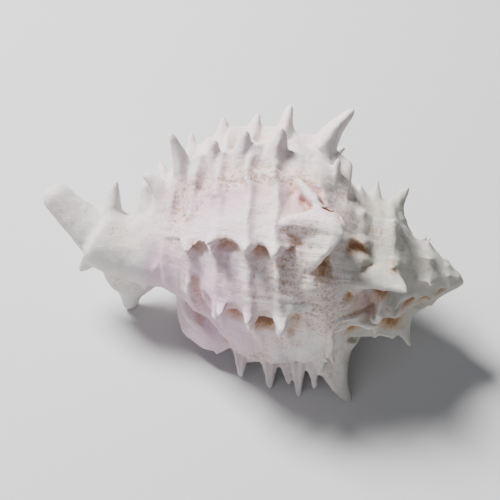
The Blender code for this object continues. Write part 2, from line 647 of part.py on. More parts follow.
def keep_largest(target):
    """Deletes any crumb that the fusing left beside the shell."""
    use_only(target)
    before = set(bpy.data.objects)
    bpy.ops.mesh.separate(type="LOOSE")
    pieces = [target] + [o for o in bpy.data.objects if o not in before]
    largest = max(pieces, key=lambda o: len(o.data.vertices))
    for piece in pieces:
        if piece is not largest:
            bpy.data.objects.remove(piece)
    return largest


def build_shell():
    outline = smooth_path(OUTLINE, OUTLINE_STEPS)
    pieces = [closed_grid(whorl_surface(outline))]
    pieces += list(row_spines(outline))
    pieces += list(free_spines())
    pieces += list(plates())
    pieces += [canal(), inner_lip()]
    shell = mesh_object("shell", pieces, shell_material())
    fuse(shell)
    cut(shell, mesh_object("aperture_cutter", [aperture_hollow()]))
    cut(shell, mesh_object("channel_cutter", [channel()]))
    fuse(shell)
    shell = keep_largest(shell)
    shell.name = "shell"
    thin = shell.modifiers.new("Fewer faces", "DECIMATE")
    thin.ratio = FACES / (2 * len(shell.data.polygons))
    apply_modifiers(shell)
    cut(shell, floor_block())
    shell.data.shade_smooth()
    shell.data.set_sharp_from_angle(angle=np.radians(SHARP_ANGLE))
    return shell


for existing in list(bpy.data.objects):
    bpy.data.objects.remove(existing)
build_shell()
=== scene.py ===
"""Murex shell, worn white by the beach, lying on its aperture on a pale floor.

Forms are in millimetres from the axis of the coil, which MM turns into metres.
Lights and camera are in metres.
"""

import bmesh
import bpy
import numpy as np
from mathutils import Matrix, Vector


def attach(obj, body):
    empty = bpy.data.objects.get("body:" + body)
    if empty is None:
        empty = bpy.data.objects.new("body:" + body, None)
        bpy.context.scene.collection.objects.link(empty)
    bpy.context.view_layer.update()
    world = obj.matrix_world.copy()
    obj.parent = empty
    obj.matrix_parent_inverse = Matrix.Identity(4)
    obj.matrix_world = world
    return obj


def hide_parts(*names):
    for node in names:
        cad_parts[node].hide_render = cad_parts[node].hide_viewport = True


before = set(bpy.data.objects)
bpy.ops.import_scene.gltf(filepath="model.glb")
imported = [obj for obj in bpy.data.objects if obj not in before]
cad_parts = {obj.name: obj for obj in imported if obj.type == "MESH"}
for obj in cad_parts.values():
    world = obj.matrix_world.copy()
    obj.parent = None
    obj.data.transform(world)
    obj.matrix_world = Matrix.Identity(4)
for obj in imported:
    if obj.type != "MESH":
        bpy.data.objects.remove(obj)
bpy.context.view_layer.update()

MM = 0.001

# Coiling, as in the part
GROWTH_PER_TURN = 1.9
REFERENCE_ANGLE = 57.0
LIP_ANGLE = 225.0
WHORLS = 5
APEX_X = 59.2
AXIS_HEIGHT = 27.0
MIDDLE_X, MIDDLE_Y = 0.06, 6.03
# Outline of the whorl at scale 1: station from the apex toward the canal, radius
OUTLINE = (
    (17.0, 0.4), (20.0, 8.0), (23.5, 12.8), (28.0, 17.0), (33.5, 21.6), (38.5, 25.2), (44.0, 26.2),
    (50.0, 26.4), (56.0, 26.0), (62.0, 24.6), (68.0, 21.8), (74.0, 17.8), (80.0, 13.6), (86.0, 9.6),
    (91.0, 6.0), (94.0, 0.4),
)
SHOULDER = 38.5
NECK = 86.0

# Spiral cords: station at scale 1, height, half width
CORDS = (
    (38.5, 0.6, 2.2), (44.2, 0.5, 1.0), (49.6, 1.6, 1.2), (57.0, 1.6, 1.2), (65.5, 1.4, 1.2),
    (73.0, 0.8, 1.2), (80.0, 0.6, 1.2),
)
# Cords lower than this lift no rim. Half width of the lift along a rim
LEAST_CORD = 0.55
CUSP_WIDTH = 1.9

# Spines narrower than this at the foot are small ones
SMALL_SPINE = 4.5
# Rows with a form of their own, by their angle
LOWER_EDGE = -47.0
LOWER_ARCHES = 16.0
UPPER_ARCHES = 55.0
STOUT_ROW = 107.0
SKYLINE_ROW = 140.0
SHELF_ROW = -393.0

# Rows of the last whorl: angle; crest, as a height or as the radii of its line at places along X; overhang
# of its edge; distance from the edge to the wall's foot; depth of the hollows between the cords; how soon it
# falls on its other side; backward lean of the spines in degrees; and its spines, each with foot along X, tip
# along X, radius of the tip, half width at the foot
LAST_WHORL_ROWS = (
    (-132.0, 2.8, 1.0, 3.0, 0.5, 0.72, 4.0, ((20.0, 22.0, 24.5, 2.8),)),
    (-88.0, 3.6, 1.0, 3.0, 0.5, 0.72, 4.0, ((-22.0, -27.0, 19.0, 2.8), (22.0, 25.0, 26.5, 3.0))),
    (LOWER_EDGE, ((-12.0, 13.0), (-8.0, 22.0), (-4.0, 30.0), (-1.0, 32.4), (5.0, 33.0), (13.5, 33.6),
                  (20.7, 33.0), (27.0, 32.0), (31.0, 26.0), (35.0, 17.0)),
     0.5, 3.0, 0.4, 0.55, 0.0, (
        (25.0, 33.1, 37.2, 5.8), (20.5, 22.7, 35.0, 2.2), (17.0, 18.8, 38.7, 2.7), (13.2, 15.4, 35.2, 2.2),
        (9.0, 10.3, 37.2, 2.9), (1.0, 2.0, 35.3, 2.9), (-6.5, -5.4, 30.0, 2.4),
    )),
    (-32.0, ((-12.0, 13.5), (-6.0, 21.5), (-1.0, 27.4), (4.5, 29.8), (10.0, 30.2), (17.0, 28.6), (24.0, 27.2),
             (29.0, 21.5)), 4.6, 0.8, 3.6, 0.6, 0.0, ()),
    (LOWER_ARCHES, 4.8, 4.4, 0.8, 3.2, 0.72, 3.0, (
        (12.5, 13.6, 31.6, 3.0), (4.0, 4.8, 31.2, 2.8), (-3.0, -2.6, 29.2, 2.4),
    )),
    (UPPER_ARCHES, 4.8, 3.2, 0.8, 2.4, 0.72, 5.0, (
        (10.0, 10.3, 33.2, 2.8), (2.5, 2.7, 32.8, 2.8), (-5.5, -6.8, 31.2, 2.4),
    )),
    (STOUT_ROW, ((-27.0, 10.0), (-24.0, 15.0), (-21.0, 22.0), (-17.0, 27.0), (-14.8, 28.4), (-7.2, 29.6),
                 (0.2, 33.0), (8.6, 31.6), (14.0, 30.6), (20.0, 29.0), (25.0, 25.0)),
     0.4, 8.0, 0.0, 0.9, 0.0, (
        (5.0, 6.1, 38.1, 4.0), (-3.4, -3.4, 35.9, 3.8), (-11.0, -11.4, 31.9, 3.4), (-17.8, -22.8, 32.0, 4.6),
        (-22.0, -30.2, 19.1, 5.0), (20.0, 21.0, 31.4, 2.4),
    )),
    (SKYLINE_ROW, ((-29.0, 8.0), (-26.0, 14.0), (-23.5, 21.5), (-20.0, 26.5), (-17.2, 28.0), (-8.8, 33.0),
                   (0.4, 34.2), (8.4, 33.4), (13.0, 33.4), (18.0, 31.0), (24.0, 27.0)),
     0.4, 6.0, 0.0, 0.9, -1.0, (
        (14.5, 22.0, 41.4, 5.0), (4.5, 5.1, 40.4, 3.4), (-3.5, -3.4, 37.1, 3.4), (-12.0, -12.6, 34.7, 3.4),
        (-19.0, -20.9, 29.4, 3.0), (-24.0, -28.6, 20.8, 3.4),
    )),
    (181.0, 5.2, 1.6, 3.0, 1.2, 0.72, 2.0, (
        (13.0, 20.0, 43.0, 4.4), (3.0, 3.5, 38.5, 3.0), (-5.0, -5.5, 37.0, 3.0), (-13.0, -14.5, 33.0, 2.8),
        (-20.0, -23.0, 26.0, 2.6),
    )),
    (225.0, 3.2, 1.0, 3.0, 0.6, 0.72, 0.0, (
        (10.0, 17.0, 38.8, 4.4), (0.0, 0.5, 38.4, 3.1), (-8.0, -9.0, 38.6, 3.1), (-16.0, -19.0, 33.0, 2.8),
        (-23.0, -27.0, 26.0, 2.6),
    )),
)
EARLIER_ROWS = (
    (-178.0, 4.6, 1.6, 3.0, 1.0, 0.72, 2.0, ((33.0, 35.5, 24.0, 2.8),)),
    (-220.0, 5.4, 1.6, 3.0, 1.0, 0.72, 0.0, (
        (36.1, 40.2, 23.1, 3.6), (31.0, 31.5, 24.4, 2.6), (38.5, 39.0, 17.2, 1.6),
    )),
    (-262.0, 5.4, 1.6, 3.0, 1.0, 0.72, 3.0, ((37.5, 39.0, 17.8, 2.4),)),
    (-307.0, 3.0, 1.4, 3.0, 1.0, 0.9, 8.0, ()),
    (-352.0, 3.6, 1.6, 3.0, 1.0, 0.9, 4.0, ()),
    (SHELF_ROW, ((24.0, 17.0), (28.0, 19.0), (31.0, 20.0), (36.0, 18.7), (41.0, 16.5), (46.0, 11.0),
                 (50.0, 8.0)),
     1.2, 3.0, 0.8, 0.5, 2.0, ((43.0, 46.4, 19.6, 3.2), (37.0, 36.8, 18.8, 1.8))),
    (-438.0, 6.0, 2.0, 3.0, 1.6, 0.72, 2.0, ((44.0, 45.5, 14.0, 2.0),)),
    (-482.0, 6.0, 2.0, 3.0, 1.6, 0.72, 2.0, ((43.5, 44.5, 14.0, 2.0),)),
)
# Rows of the spire, without spines, and the knobs that grow on the shoulder toward the apex
SPIRE_ROW = (6.4, 2.0, 3.0, 1.6, 0.72)
SPIRE_ROW_STEP = 42.0
KNOB_HEIGHT = 5.98
KNOB_HALF_LENGTH = 4.5
KNOB_TURN = 200.0
KNOB_FADE = 0.6

# Height of a rim across the whorl: its share at the suture, and the stations where it rises and falls
RIM_AT_SUTURE = 0.35
RIM_RISES = (24.0, 36.0)
RIM_FALLS = (68.0, 84.0)
ARCHES_RISE = (43.5, 47.0)
LOWER_ARCHES_FALL = (64.5, 70.5)
# Shares of a rim's height, and of its foot's length, that stand on the cords alone
RIM_ON_CORDS = 0.42
CREST_ON_CORDS = 0.06
FOOT_ON_CORDS = 0.4
# Overhang between the cords as a share of that on them: below zero the lower arches draw back
OVERHANG_BETWEEN = 0.25
LOWER_ARCHES_BETWEEN = -0.15
# The upper arches reach further down beside the neck: added overhang and stations where it grows
NECK_OVERHANG = 2.0
NECK_OVERHANG_RISES = (64.0, 72.0)
FULL_RIM = 2.0
LEAST_FOOT = 0.2
LEAST_REACH = 3.0
# Rows with a foot longer than this stand like a ridge: their foot lengthens toward the neck
RIDGE_FOOT = 5.0
RIDGE_FOOT_GROWS = (60.0, 72.0)
# The whorl closes to a point at both ends of its outline, between these radii
CLOSING = (2.0, 8.0)
# Steepness of the fall behind a rim
FALL_POWER = 1.5

# Canal: X, Y, Z and radius
CANAL = (
    (-12.0, -1.0, -1.0, 12.5), (-20.0, -2.0, -2.5, 11.0), (-26.0, -2.8, -3.6, 9.4), (-31.0, -3.0, -3.8, 8.0),
    (-37.0, -2.6, -2.6, 7.4), (-43.0, -1.6, 0.2, 6.4), (-49.0, 0.2, 4.2, 5.0), (-54.4, 2.2, 8.6, 4.0),
)
# Rounded end of the canal: its length, and the places along it with their share of the last radius
CANAL_END = 2.4
CANAL_END_RINGS = ((0.55, 0.8), (1.0, 0.42))
# Flared collar where the older canal ended, in the same form as the canal
COLLAR = (
    (-26.0, -2.8, -3.4, 9.6), (-31.0, -3.0, -3.2, 9.0), (-36.0, -2.8, -2.4, 8.7), (-39.5, -2.3, -1.4, 8.8),
    (-41.6, -2.0, -0.6, 8.4), (-42.6, -1.8, -0.2, 7.0),
)
# Spines of the neck: foot and tip as X, Y, Z; half width at the foot and at the tip
NECK_SPINES = (
    ((-39.0, 0.0, 1.0), (-38.0, 7.0, 13.0), 3.8, 1.0),
    ((-31.5, 0.5, 2.0), (-31.5, 7.5, 9.8), 2.8, 0.8),
    ((-27.0, 0.0, 2.0), (-30.0, 7.5, 14.0), 4.4, 1.4),
    ((-41.0, -3.0, -5.0), (-47.8, -6.2, -12.8), 4.4, 1.0),
    ((-25.5, -4.0, -2.0), (-27.5, -11.4, -10.4), 4.0, 0.9),
    ((-32.5, -2.5, -6.0), (-34.2, -5.4, -27.4), 8.0, 1.5),
    ((-33.0, -2.5, -4.0), (-33.8, -4.4, -16.5), 8.6, 6.6),
    ((-26.5, 2.0, -6.0), (-29.0, 8.0, -15.0), 3.4, 1.2),
)
# Spines whose foot is wider than this have no flare
BROAD_STUB = 6.0
# Worn knob below the shoulder fold: foot and tip as X, angle, radius; half width, tip width
FOLDS = (
    ((18.0, 33.0, 20.0), (20.2, 36.5, 25.6), 4.6, 2.2),
)
# Shoulder fold of the upper arches, as rows of points from its upper edge down to its lower lip: X, angle,
# radius
NOSE = (
    ((9.0, 66.1, 28.2), (11.6, 68.8, 29.2), (14.7, 72.9, 29.6), (17.3, 77.5, 29.6), (20.1, 76.8, 29.8),
     (23.1, 73.4, 29.9), (25.2, 69.1, 29.8)),
    ((9.3, 62.8, 28.8), (11.9, 65.3, 30.0), (15.1, 68.2, 30.6), (18.1, 70.9, 30.8), (21.0, 71.7, 30.8),
     (23.7, 69.5, 30.8), (25.9, 66.2, 30.4)),
    ((9.5, 59.5, 27.6), (12.2, 61.5, 28.4), (15.3, 63.4, 29.6), (18.4, 65.4, 30.6), (21.5, 66.4, 31.2),
     (23.8, 65.1, 31.2), (25.9, 63.3, 30.4)),
    ((9.9, 56.4, 25.6), (12.3, 58.6, 26.2), (15.2, 59.7, 27.4), (18.2, 60.6, 28.8), (20.9, 61.0, 30.0),
     (23.2, 60.5, 30.6), (25.1, 60.8, 30.2)),
    ((10.9, 52.5, 25.0), (13.1, 54.2, 25.4), (15.5, 54.9, 26.4), (18.1, 55.0, 27.6), (20.4, 55.0, 28.6),
     (22.3, 55.8, 29.8), (23.9, 56.8, 29.6)),
    ((11.9, 47.8, 24.4), (13.9, 49.0, 24.8), (15.9, 49.2, 25.6), (18.0, 48.8, 26.6), (19.7, 48.8, 27.6),
     (21.4, 51.4, 28.6), (22.7, 53.2, 28.6)),
    ((13.1, 43.6, 24.0), (14.6, 44.1, 24.2), (16.1, 44.1, 24.6), (17.6, 44.1, 25.4), (19.1, 44.7, 26.0),
     (20.3, 46.3, 26.8), (21.2, 48.2, 26.8)),
)
# The fold's inner face: points drawn toward this X and angle by a share, and sunk
NOSE_MIDDLE, NOSE_TAPER, NOSE_DEPTH = (15.0, 62.0), 0.35, 9.0
NOSE_STEPS = 34
# Raised edges and plates: half thickness, then their outer and inner lines. Points are X, angle, radius
PLATES = (
    (1.8, ((12.0, 92.5, 29.6), (14.2, 87.0, 30.0), (16.7, 81.7, 30.2), (18.8, 77.8, 29.6),
           (20.5, 74.0, 28.6)),
     ((12.0, 92.5, 24.0), (14.2, 87.0, 24.0), (16.7, 82.0, 24.0), (18.8, 78.5, 24.0), (20.5, 76.0, 24.0))),
    (0.6, ((19.1, 80.0, 29.4), (22.1, 76.6, 30.0), (24.4, 73.0, 30.1), (25.9, 68.4, 30.0)),
     ((19.1, 79.0, 24.0), (21.5, 75.0, 24.5), (23.0, 72.0, 25.5), (24.5, 68.4, 26.5))),
    (1.5, ((27.2, 28.8, 17.0), (29.3, 32.5, 18.4), (32.5, 34.3, 19.4), (36.3, 36.0, 20.4), (40.1, 36.0, 21.0),
           (43.8, 37.1, 21.4)),
     ((27.7, 36.4, 14.0), (30.0, 43.0, 15.5), (33.0, 50.4, 15.5), (36.2, 57.8, 14.0), (39.4, 53.5, 14.0),
      (42.3, 44.2, 17.5))),
    (1.2, ((37.4, 31.8, 18.6), (37.0, 23.6, 19.0), (36.7, 14.1, 19.4), (36.1, 0.3, 19.6),
           (36.6, -16.0, 19.8)),
     ((37.4, 31.8, 11.0), (37.4, 23.6, 11.0), (37.4, 14.1, 11.0), (37.0, 0.3, 11.0), (37.0, -16.0, 12.0))),
    (0.8, ((27.3, -5.0, 20.6), (29.0, 2.4, 20.4), (31.3, 2.1, 20.2), (33.9, -0.6, 20.0), (36.5, -2.1, 20.0)),
     ((26.5, 3.0, 13.0), (29.0, 9.0, 12.0), (31.3, 9.0, 12.0), (33.9, 7.0, 12.0), (36.5, 6.0, 12.0))),
    (0.9, ((29.5, 9.0, 18.0), (27.8, 3.0, 19.6), (26.1, -4.0, 21.2), (25.4, -15.0, 22.6), (26.0, -25.0, 24.6),
           (27.6, -35.0, 27.5)),
     ((26.0, 12.0, 16.0), (24.5, 4.0, 17.0), (23.0, -4.0, 18.0), (22.5, -15.0, 19.0), (23.0, -25.0, 20.0),
      (24.0, -35.0, 22.0))),
    (1.0, ((27.1, 71.7, 19.6), (29.1, 68.2, 20.3), (31.5, 65.5, 20.2)),
     ((28.4, 80.0, 15.0), (30.2, 79.0, 15.0), (32.4, 76.0, 15.0))),
)
# Swollen flange beside the aperture and flare of the canal, in the same form with points as X, Y, Z
BROAD_PLATES = (
    (2.4, ((-20.3, -2.0, -20.0), (-19.4, -6.0, -21.0), (-17.4, -11.5, -21.0), (-14.4, -16.4, -21.0),
           (-9.8, -19.6, -21.2), (-4.5, -20.2, -21.0)),
     ((-14.0, -4.0, -5.0), (-11.5, -7.0, -8.0), (-8.0, -11.0, -10.0), (-4.0, -14.0, -12.0),
      (1.0, -16.0, -13.5), (6.0, -17.0, -15.0))),
    (1.6, ((-14.5, -9.0, 9.2), (-19.3, -10.5, 7.5), (-22.8, -12.5, 2.9), (-27.2, -11.3, -9.4)),
     ((-14.0, -4.0, 3.0), (-20.0, -4.0, 1.0), (-24.0, -4.0, -2.0), (-27.0, -4.0, -5.0))),
    (1.8, ((-33.6, -5.4, -25.0), (-28.8, -5.0, -20.0), (-22.7, -5.0, -11.4)),
     ((-32.0, -3.0, -14.0), (-27.0, -3.0, -10.0), (-22.0, -3.0, -6.0))),
    (1.8, ((-46.4, -6.0, -8.0), (-42.4, -6.4, -8.5), (-39.0, -6.4, -10.5), (-35.5, -6.0, -15.5)),
     ((-43.0, -5.0, 1.0), (-40.0, -6.6, 1.0), (-36.5, -7.4, 0.0), (-32.0, -7.6, 0.0))),
)
# Aperture: angle and radius of its middle, X, half sizes outward and along X
APERTURE = (
    (245.0, 21.0, -6.5, 10.0, 17.5), (226.0, 21.4, -6.0, 8.8, 16.5), (205.0, 21.4, -5.0, 8.0, 14.5),
    (180.0, 20.8, -4.0, 6.8, 12.0), (155.0, 20.0, -3.0, 5.0, 9.0), (135.0, 19.4, -2.0, 2.6, 5.0),
)
APERTURE_TILT = 0.35
# Channel under the canal, in the same form as the canal, and the line of the aperture's inner lip
CHANNEL = (
    (-16.0, 6.0, -14.5, 3.6), (-26.0, 1.5, -11.0, 2.8), (-38.0, -0.8, -8.6, 2.2), (-50.0, 0.6, -1.6, 1.6),
)
INNER_LIP = (
    (10.0, -12.5, -17.5), (3.0, -16.0, -18.5), (-5.0, -17.5, -18.0), (-11.0, -15.5, -15.5),
    (-15.5, -12.0, -13.0), (-18.0, -8.0, -9.0),
)
INNER_LIP_THICKNESS = 2.4

# Hollows and stains: X, angle, radius; half size along X and round the axis; depth; brown, painted shade
# under the rims and partly real stain; pink, painted shade
SPOTS = (
    (0.7, 3.0, 24.4, 2.4, 2.2, 1.3, 0.75, 0.1), (8.9, 2.6, 25.0, 2.8, 2.6, 1.9, 1.0, 0.1),
    (16.4, 10.7, 24.6, 1.8, 2.8, 0.7, 0.55, 0.2), (15.2, -2.0, 24.6, 1.8, 2.8, 0.5, 0.5, 0.1),
    (-6.5, 10.0, 24.0, 1.8, 2.0, 0.9, 0.4, 0.1),
    (-2.3, 51.0, 26.4, 2.8, 1.8, 1.0, 0.45, 0.2), (6.5, 53.0, 26.6, 3.0, 2.0, 1.4, 0.6, 0.2),
    (-10.5, 48.0, 22.8, 2.4, 1.8, 0.8, 0.45, 0.1),
    (13.8, 58.0, 27.0, 2.8, 2.0, 0.8, 0.35, 0.3),
    (13.6, 89.2, 27.0, 3.6, 3.2, 1.2, 0.15, 0.8), (16.5, 81.4, 27.0, 3.0, 3.4, 1.6, 0.2, 0.9),
    (12.4, 78.6, 27.0, 3.0, 4.0, 1.2, 0.05, 0.6),
    (28.6, 63.7, 18.8, 2.6, 2.0, 0.7, 0.45, 0.0), (26.6, 61.0, 19.5, 2.2, 2.0, 0.6, 0.35, 0.0),
    (30.2, 66.5, 18.5, 2.2, 1.8, 0.5, 0.45, 0.0), (21.7, 46.4, 24.0, 2.4, 3.6, 1.8, 0.9, 0.3),
    (37.0, 28.0, 17.2, 1.8, 1.6, 2.0, 1.0, 0.2), (27.9, 26.0, 18.4, 1.5, 1.8, 1.3, 0.9, 0.3),
    (32.0, 14.0, 17.0, 4.0, 4.5, 0.8, 0.05, 0.7), (30.5, -14.1, 18.0, 3.0, 1.8, 1.6, 0.9, 0.1),
    (25.1, -41.9, 25.6, 1.8, 2.6, 0.8, 0.4, 0.1), (-10.6, -39.5, 21.3, 1.6, 1.6, 0.5, 0.3, 0.0),
    (44.0, 3.2, 12.0, 1.9, 1.6, 1.3, 1.0, 0.0), (48.3, -5.6, 9.0, 1.7, 1.5, 1.1, 1.0, 0.0),
    (51.8, 7.0, 7.0, 1.3, 1.3, 0.8, 0.9, 0.0), (38.0, 58.0, 17.0, 1.4, 1.2, 0.3, 0.3, 0.0),
    (39.3, 50.2, 17.0, 1.4, 1.2, 0.3, 0.3, 0.0), (22.0, 75.0, 29.0, 2.6, 1.2, 0.8, 0.3, 1.0),
    (41.0, -24.0, 14.0, 2.4, 2.0, 1.0, 0.8, 0.0), (35.5, -40.0, 14.0, 3.0, 3.0, 0.8, 0.8, 0.0),
    (3.5, -38.0, 27.0, 2.0, 1.8, 0.6, 0.6, 0.1), (-2.5, -37.0, 25.5, 1.6, 1.6, 0.5, 0.5, 0.1),
    (11.0, -38.0, 28.0, 2.2, 1.8, 0.6, 0.6, 0.1),
)
# Freckled and stained patches without a hollow: X, angle; half size along X and round the axis in degrees;
# strength
STAINS = (
    (-4.0, 92.0, 13.0, 5.0, 0.9), (9.0, 94.0, 8.0, 5.0, 0.55), (17.0, 62.0, 7.0, 7.0, 0.5),
    (14.0, 40.0, 6.0, 14.0, 0.55), (18.5, 22.0, 4.5, 12.0, 0.5), (-11.0, 5.0, 4.0, 26.0, 0.55),
    (-19.0, 60.0, 5.0, 20.0, 0.45), (15.0, -10.0, 5.0, 12.0, 0.45), (-32.0, 40.0, 6.0, 25.0, 0.4),
    (-14.0, 80.0, 8.0, 8.0, 0.5),
    (-35.0, -40.0, 6.0, 20.0, 0.7), (5.0, -32.0, 14.0, 3.0, 0.5), (33.0, 85.0, 4.0, 8.0, 0.5),
    (24.0, 20.0, 5.0, 30.0, 0.4), (24.0, 95.0, 6.0, 14.0, 0.4),
)
# Fine ridges, and grooves where the height is below zero: half width, height, pink painted shade in the
# grooves, and points on the surface
LINES = (
    (0.55, 1.0, 0.0, ((23.4, -46.0, 29.5), (24.0, -41.8, 28.0), (24.9, -31.0, 25.0), (25.7, -17.1, 22.8),
                      (25.3, -1.1, 22.9), (26.0, 4.7, 21.9), (27.3, 7.6, 20.6), (30.7, 5.9, 18.8),
                      (35.9, 5.8, 19.2), (37.0, 12.8, 19.2))),
    (0.5, 0.7, 0.0, ((27.2, -3.0, 20.6), (28.4, 0.8, 19.8), (30.6, 1.0, 19.2), (33.7, -0.5, 18.6),
                     (36.2, 1.0, 18.8))),
    (1.3, -1.2, 0.8, ((-10.5, 20.0, 19.0), (-9.6, 8.0, 19.5), (-8.2, -4.0, 21.0), (-6.4, -14.0, 23.0),
                      (-4.6, -22.0, 24.5))),
    (0.9, 0.9, 0.0, ((-12.6, 18.0, 18.5), (-12.0, 4.0, 19.0), (-11.0, -8.0, 20.5), (-9.6, -18.0, 22.0),
                     (-8.0, -26.0, 23.0))),
    (0.6, -0.9, 0.9, ((19.1, 80.5, 28.6), (21.7, 77.5, 29.0), (24.0, 73.8, 29.2), (25.6, 70.0, 29.2))),
)
# Places worn smoother, in the same form as the stains, and how much smoother the neck and the spire are
WORN = ((35.0, 30.0, 8.0, 40.0, 0.2), (32.5, 14.0, 5.0, 16.0, 0.8), (-39.0, -45.0, 6.0, 30.0, 0.5))
WORN_NECK, NECK_BEGINS = 0.6, (-25.0, -30.0)
WORN_SPIRE, SPIRE_BEGINS = 0.7, (25.0, 29.0)
MOST_WORN = 0.9

# Lumps of the surface: width, height, shift of the noise
LUMPS = ((5.0, 0.30, 0), (2.3, 0.16, 31), (1.1, 0.07, 7))
# Growth lines across the whorl: cells of noise to a turn's radius; heights where plain, where wrinkled and of
# the fine lines
GROWTH_LINES = 30
FINE_GROWTH_LINES = 62
GROWTH_HEIGHT, WRINKLE_HEIGHT, FINE_GROWTH_HEIGHT = 0.09, 0.32, 0.06
# Threads along the spiral: width and height
THREAD_WIDTH, THREAD_HEIGHT = 0.75, 0.07
# How far the cords and rims sway along X and round the axis, and over what length
SWAY_ALONG, SWAY_ALONG_LENGTH = 0.5, 6.5
SWAY_AROUND, SWAY_AROUND_LENGTH = 0.35, 7.0
# The fine relief grows between these places along X and these radii
BODY_ALONG, BODY_OUT = (-30.0, -22.0), (5.0, 13.0)
# Shares of a hollow's depth that go forward under the rim and inward, and how far it reaches above and below
HOLLOW_ONWARD, HOLLOW_INWARD = 0.6, 0.8
HOLLOW_ABOVE, HOLLOW_BELOW = 2.2, 4.0
LINE_REACH = 3.0
# Hollows and ridges go only where the surface faces outward by this much
OPEN_SIDE = (-0.25, 0.15)
# Rounds of averaging that tell a narrow hollow and a wide one
NEAR_ROUNDS, WIDE_ROUNDS = 5, 40

# Colours
# White is also the painted highlight on the most convex places
WHITE = (0.88, 0.845, 0.82)
CREAM = (0.84, 0.715, 0.705)
# Lilac: the shell's tint, made stronger on the lower front as painted shade
LILAC = (0.68, 0.45, 0.60)
GREY = (0.50, 0.50, 0.44)
CANAL_GREY = (0.70, 0.69, 0.67)
# Rose: painted shade in the wide hollows
ROSE_SHADE = (0.70, 0.46, 0.49)
# Pink: painted shade in the hollows and grooves
PINK_SHADE = (0.74, 0.42, 0.40)
# Tan: painted shade and warm reflected light in the narrow hollows, partly dirt, and also real stains
TAN = (0.56, 0.42, 0.27)
RUST = (0.36, 0.18, 0.085)
# Ochre and brown: painted shade in the hollows under the rims, partly real stain
OCHRE = (0.50, 0.27, 0.10)
BROWN = (0.16, 0.06, 0.025)
# Where the colours go, along X: lilac, partly painted shade on the lower front, round this angle with this
# half size, weaker lilac, and the greys
LILAC_FRONT, LILAC_RISES, LILAC_ENDS = (-5.0, 60.0), (14.0, -6.0), (-30.0, -24.0)
LILAC_PATCHES = ((-8.0, 84.0, 16.0, 16.0, 0.7),)
WEAK_LILAC, WEAK_LILAC_RISES = 0.25, (24.0, 12.0)
GREY_RISES, CANAL_GREY_RISES = (22.0, 34.0), (-24.0, -32.0)
# Grains of the colour and of the finest relief, in cells to the metre, and the gloss
BLOTCHES, CLOUDS, SPECKS = 90.0, 160.0, 1300.0
STREAKS, FINE_RIDGES = 38.0, 60.0
ROUGHNESS, GLOSS = 0.62, 0.35
BUMP_STRENGTH, BUMP_HEIGHT = 0.75, 0.5
FLOOR_GREY = (0.62, 0.62, 0.63)
ROOM_LIGHT = (0.80, 0.84, 0.90)
ROOM_STRENGTH = 0.16

# Camera's place, and the lights: way from the shell as right, up and back in the picture, distance, size,
# power and colour
AZIMUTH = 11.0
ELEVATION = 50.0
CAMERA_DISTANCE = 0.319
LENS, SENSOR = 85, 36
LIGHTS = (
    ("key", (-0.55, 1.0, 0.45), 0.9, 0.28, 25.0, (1.0, 0.985, 0.96)),
    ("fill", (-0.7, -0.25, 1.0), 1.0, 0.9, 2.5, (0.93, 0.95, 1.0)),
)

OUTLINE_STEPS = 230
FALL_STEPS, WALL_STEPS = 14, 16
VOXEL = 0.36
FACES = 190000
ROUNDING = 5
ALONG = np.array([1.0, 0.0, 0.0])
ACROSS = np.array([0.0, 1.0, 0.0])


def smooth_path(points, count):
    """Catmull-Rom curve through the points, at evenly spread places."""
    p = np.array(points, float)
    p = np.vstack([2 * p[0] - p[1], p, 2 * p[-1] - p[-2]])
    fine = []
    for i in range(1, len(p) - 2):
        t = np.linspace(0, 1, 24, endpoint=False)[:, None]
        a, b, c, d = p[i - 1], p[i], p[i + 1], p[i + 2]
        square = 2 * a - 5 * b + 4 * c - d
        cube = 3 * b - a - 3 * c + d
        fine.append(0.5 * (2 * b + (c - a) * t + square * t**2 + cube * t**3))
    fine = np.vstack(fine + [p[-2][None]])
    length = np.concatenate([[0], np.cumsum(np.linalg.norm(np.diff(fine, axis=0), axis=1))])
    at = np.linspace(0, length[-1], count)
    return np.column_stack([np.interp(at, length, fine[:, k]) for k in range(fine.shape[1])])


def smoothstep(x):
    x = np.clip(x, 0, 1)
    return x * x * (3 - 2 * x)


def rising(value, ends):
    """0 before the first end, 1 after the second."""
    return smoothstep((value - ends[0]) / (ends[1] - ends[0]))


def whorl_scale(angle):
    return GROWTH_PER_TURN ** ((angle - REFERENCE_ANGLE) / 360)


def share_of_scale(station):
    return 1 - rising(station, (SHOULDER, NECK))


def outward(angle):
    a = np.radians(angle)
    return np.stack([np.zeros_like(a), -np.cos(a), np.sin(a)], -1)


def onward(angle):
    a = np.radians(angle)
    return np.stack([np.zeros_like(a), np.sin(a), np.cos(a)], -1)


def rim_along(station):
    risen = RIM_AT_SUTURE + (1 - RIM_AT_SUTURE) * rising(station, RIM_RISES)
    return np.clip(risen - rising(station, RIM_FALLS), 0, 1)


def cord_height(station):
    total = np.zeros_like(station)
    for centre, height, half_width in CORDS:
        total += height * np.exp(-(((station - centre) / half_width) ** 2))
    return total


def cusps(station):
    """1 on a cord, 0 midway between two."""
    total = np.zeros_like(station)
    for centre, height, _ in CORDS:
        if height > LEAST_CORD:
            total += np.exp(-(((station - centre) / CUSP_WIDTH) ** 2))
    return np.clip(total, 0, 1)


def knobs(angle, station):
    share = smoothstep((EARLIER_ROWS[0][0] - angle) / KNOB_TURN)
    return KNOB_HEIGHT * share * np.exp(-(((station - SHOULDER) / KNOB_HALF_LENGTH) ** 2))


def bezier(a, b, c, d, u):
    return (1 - u) ** 3 * a + 3 * u * (1 - u) ** 2 * b + 3 * u**2 * (1 - u) * c + u**3 * d


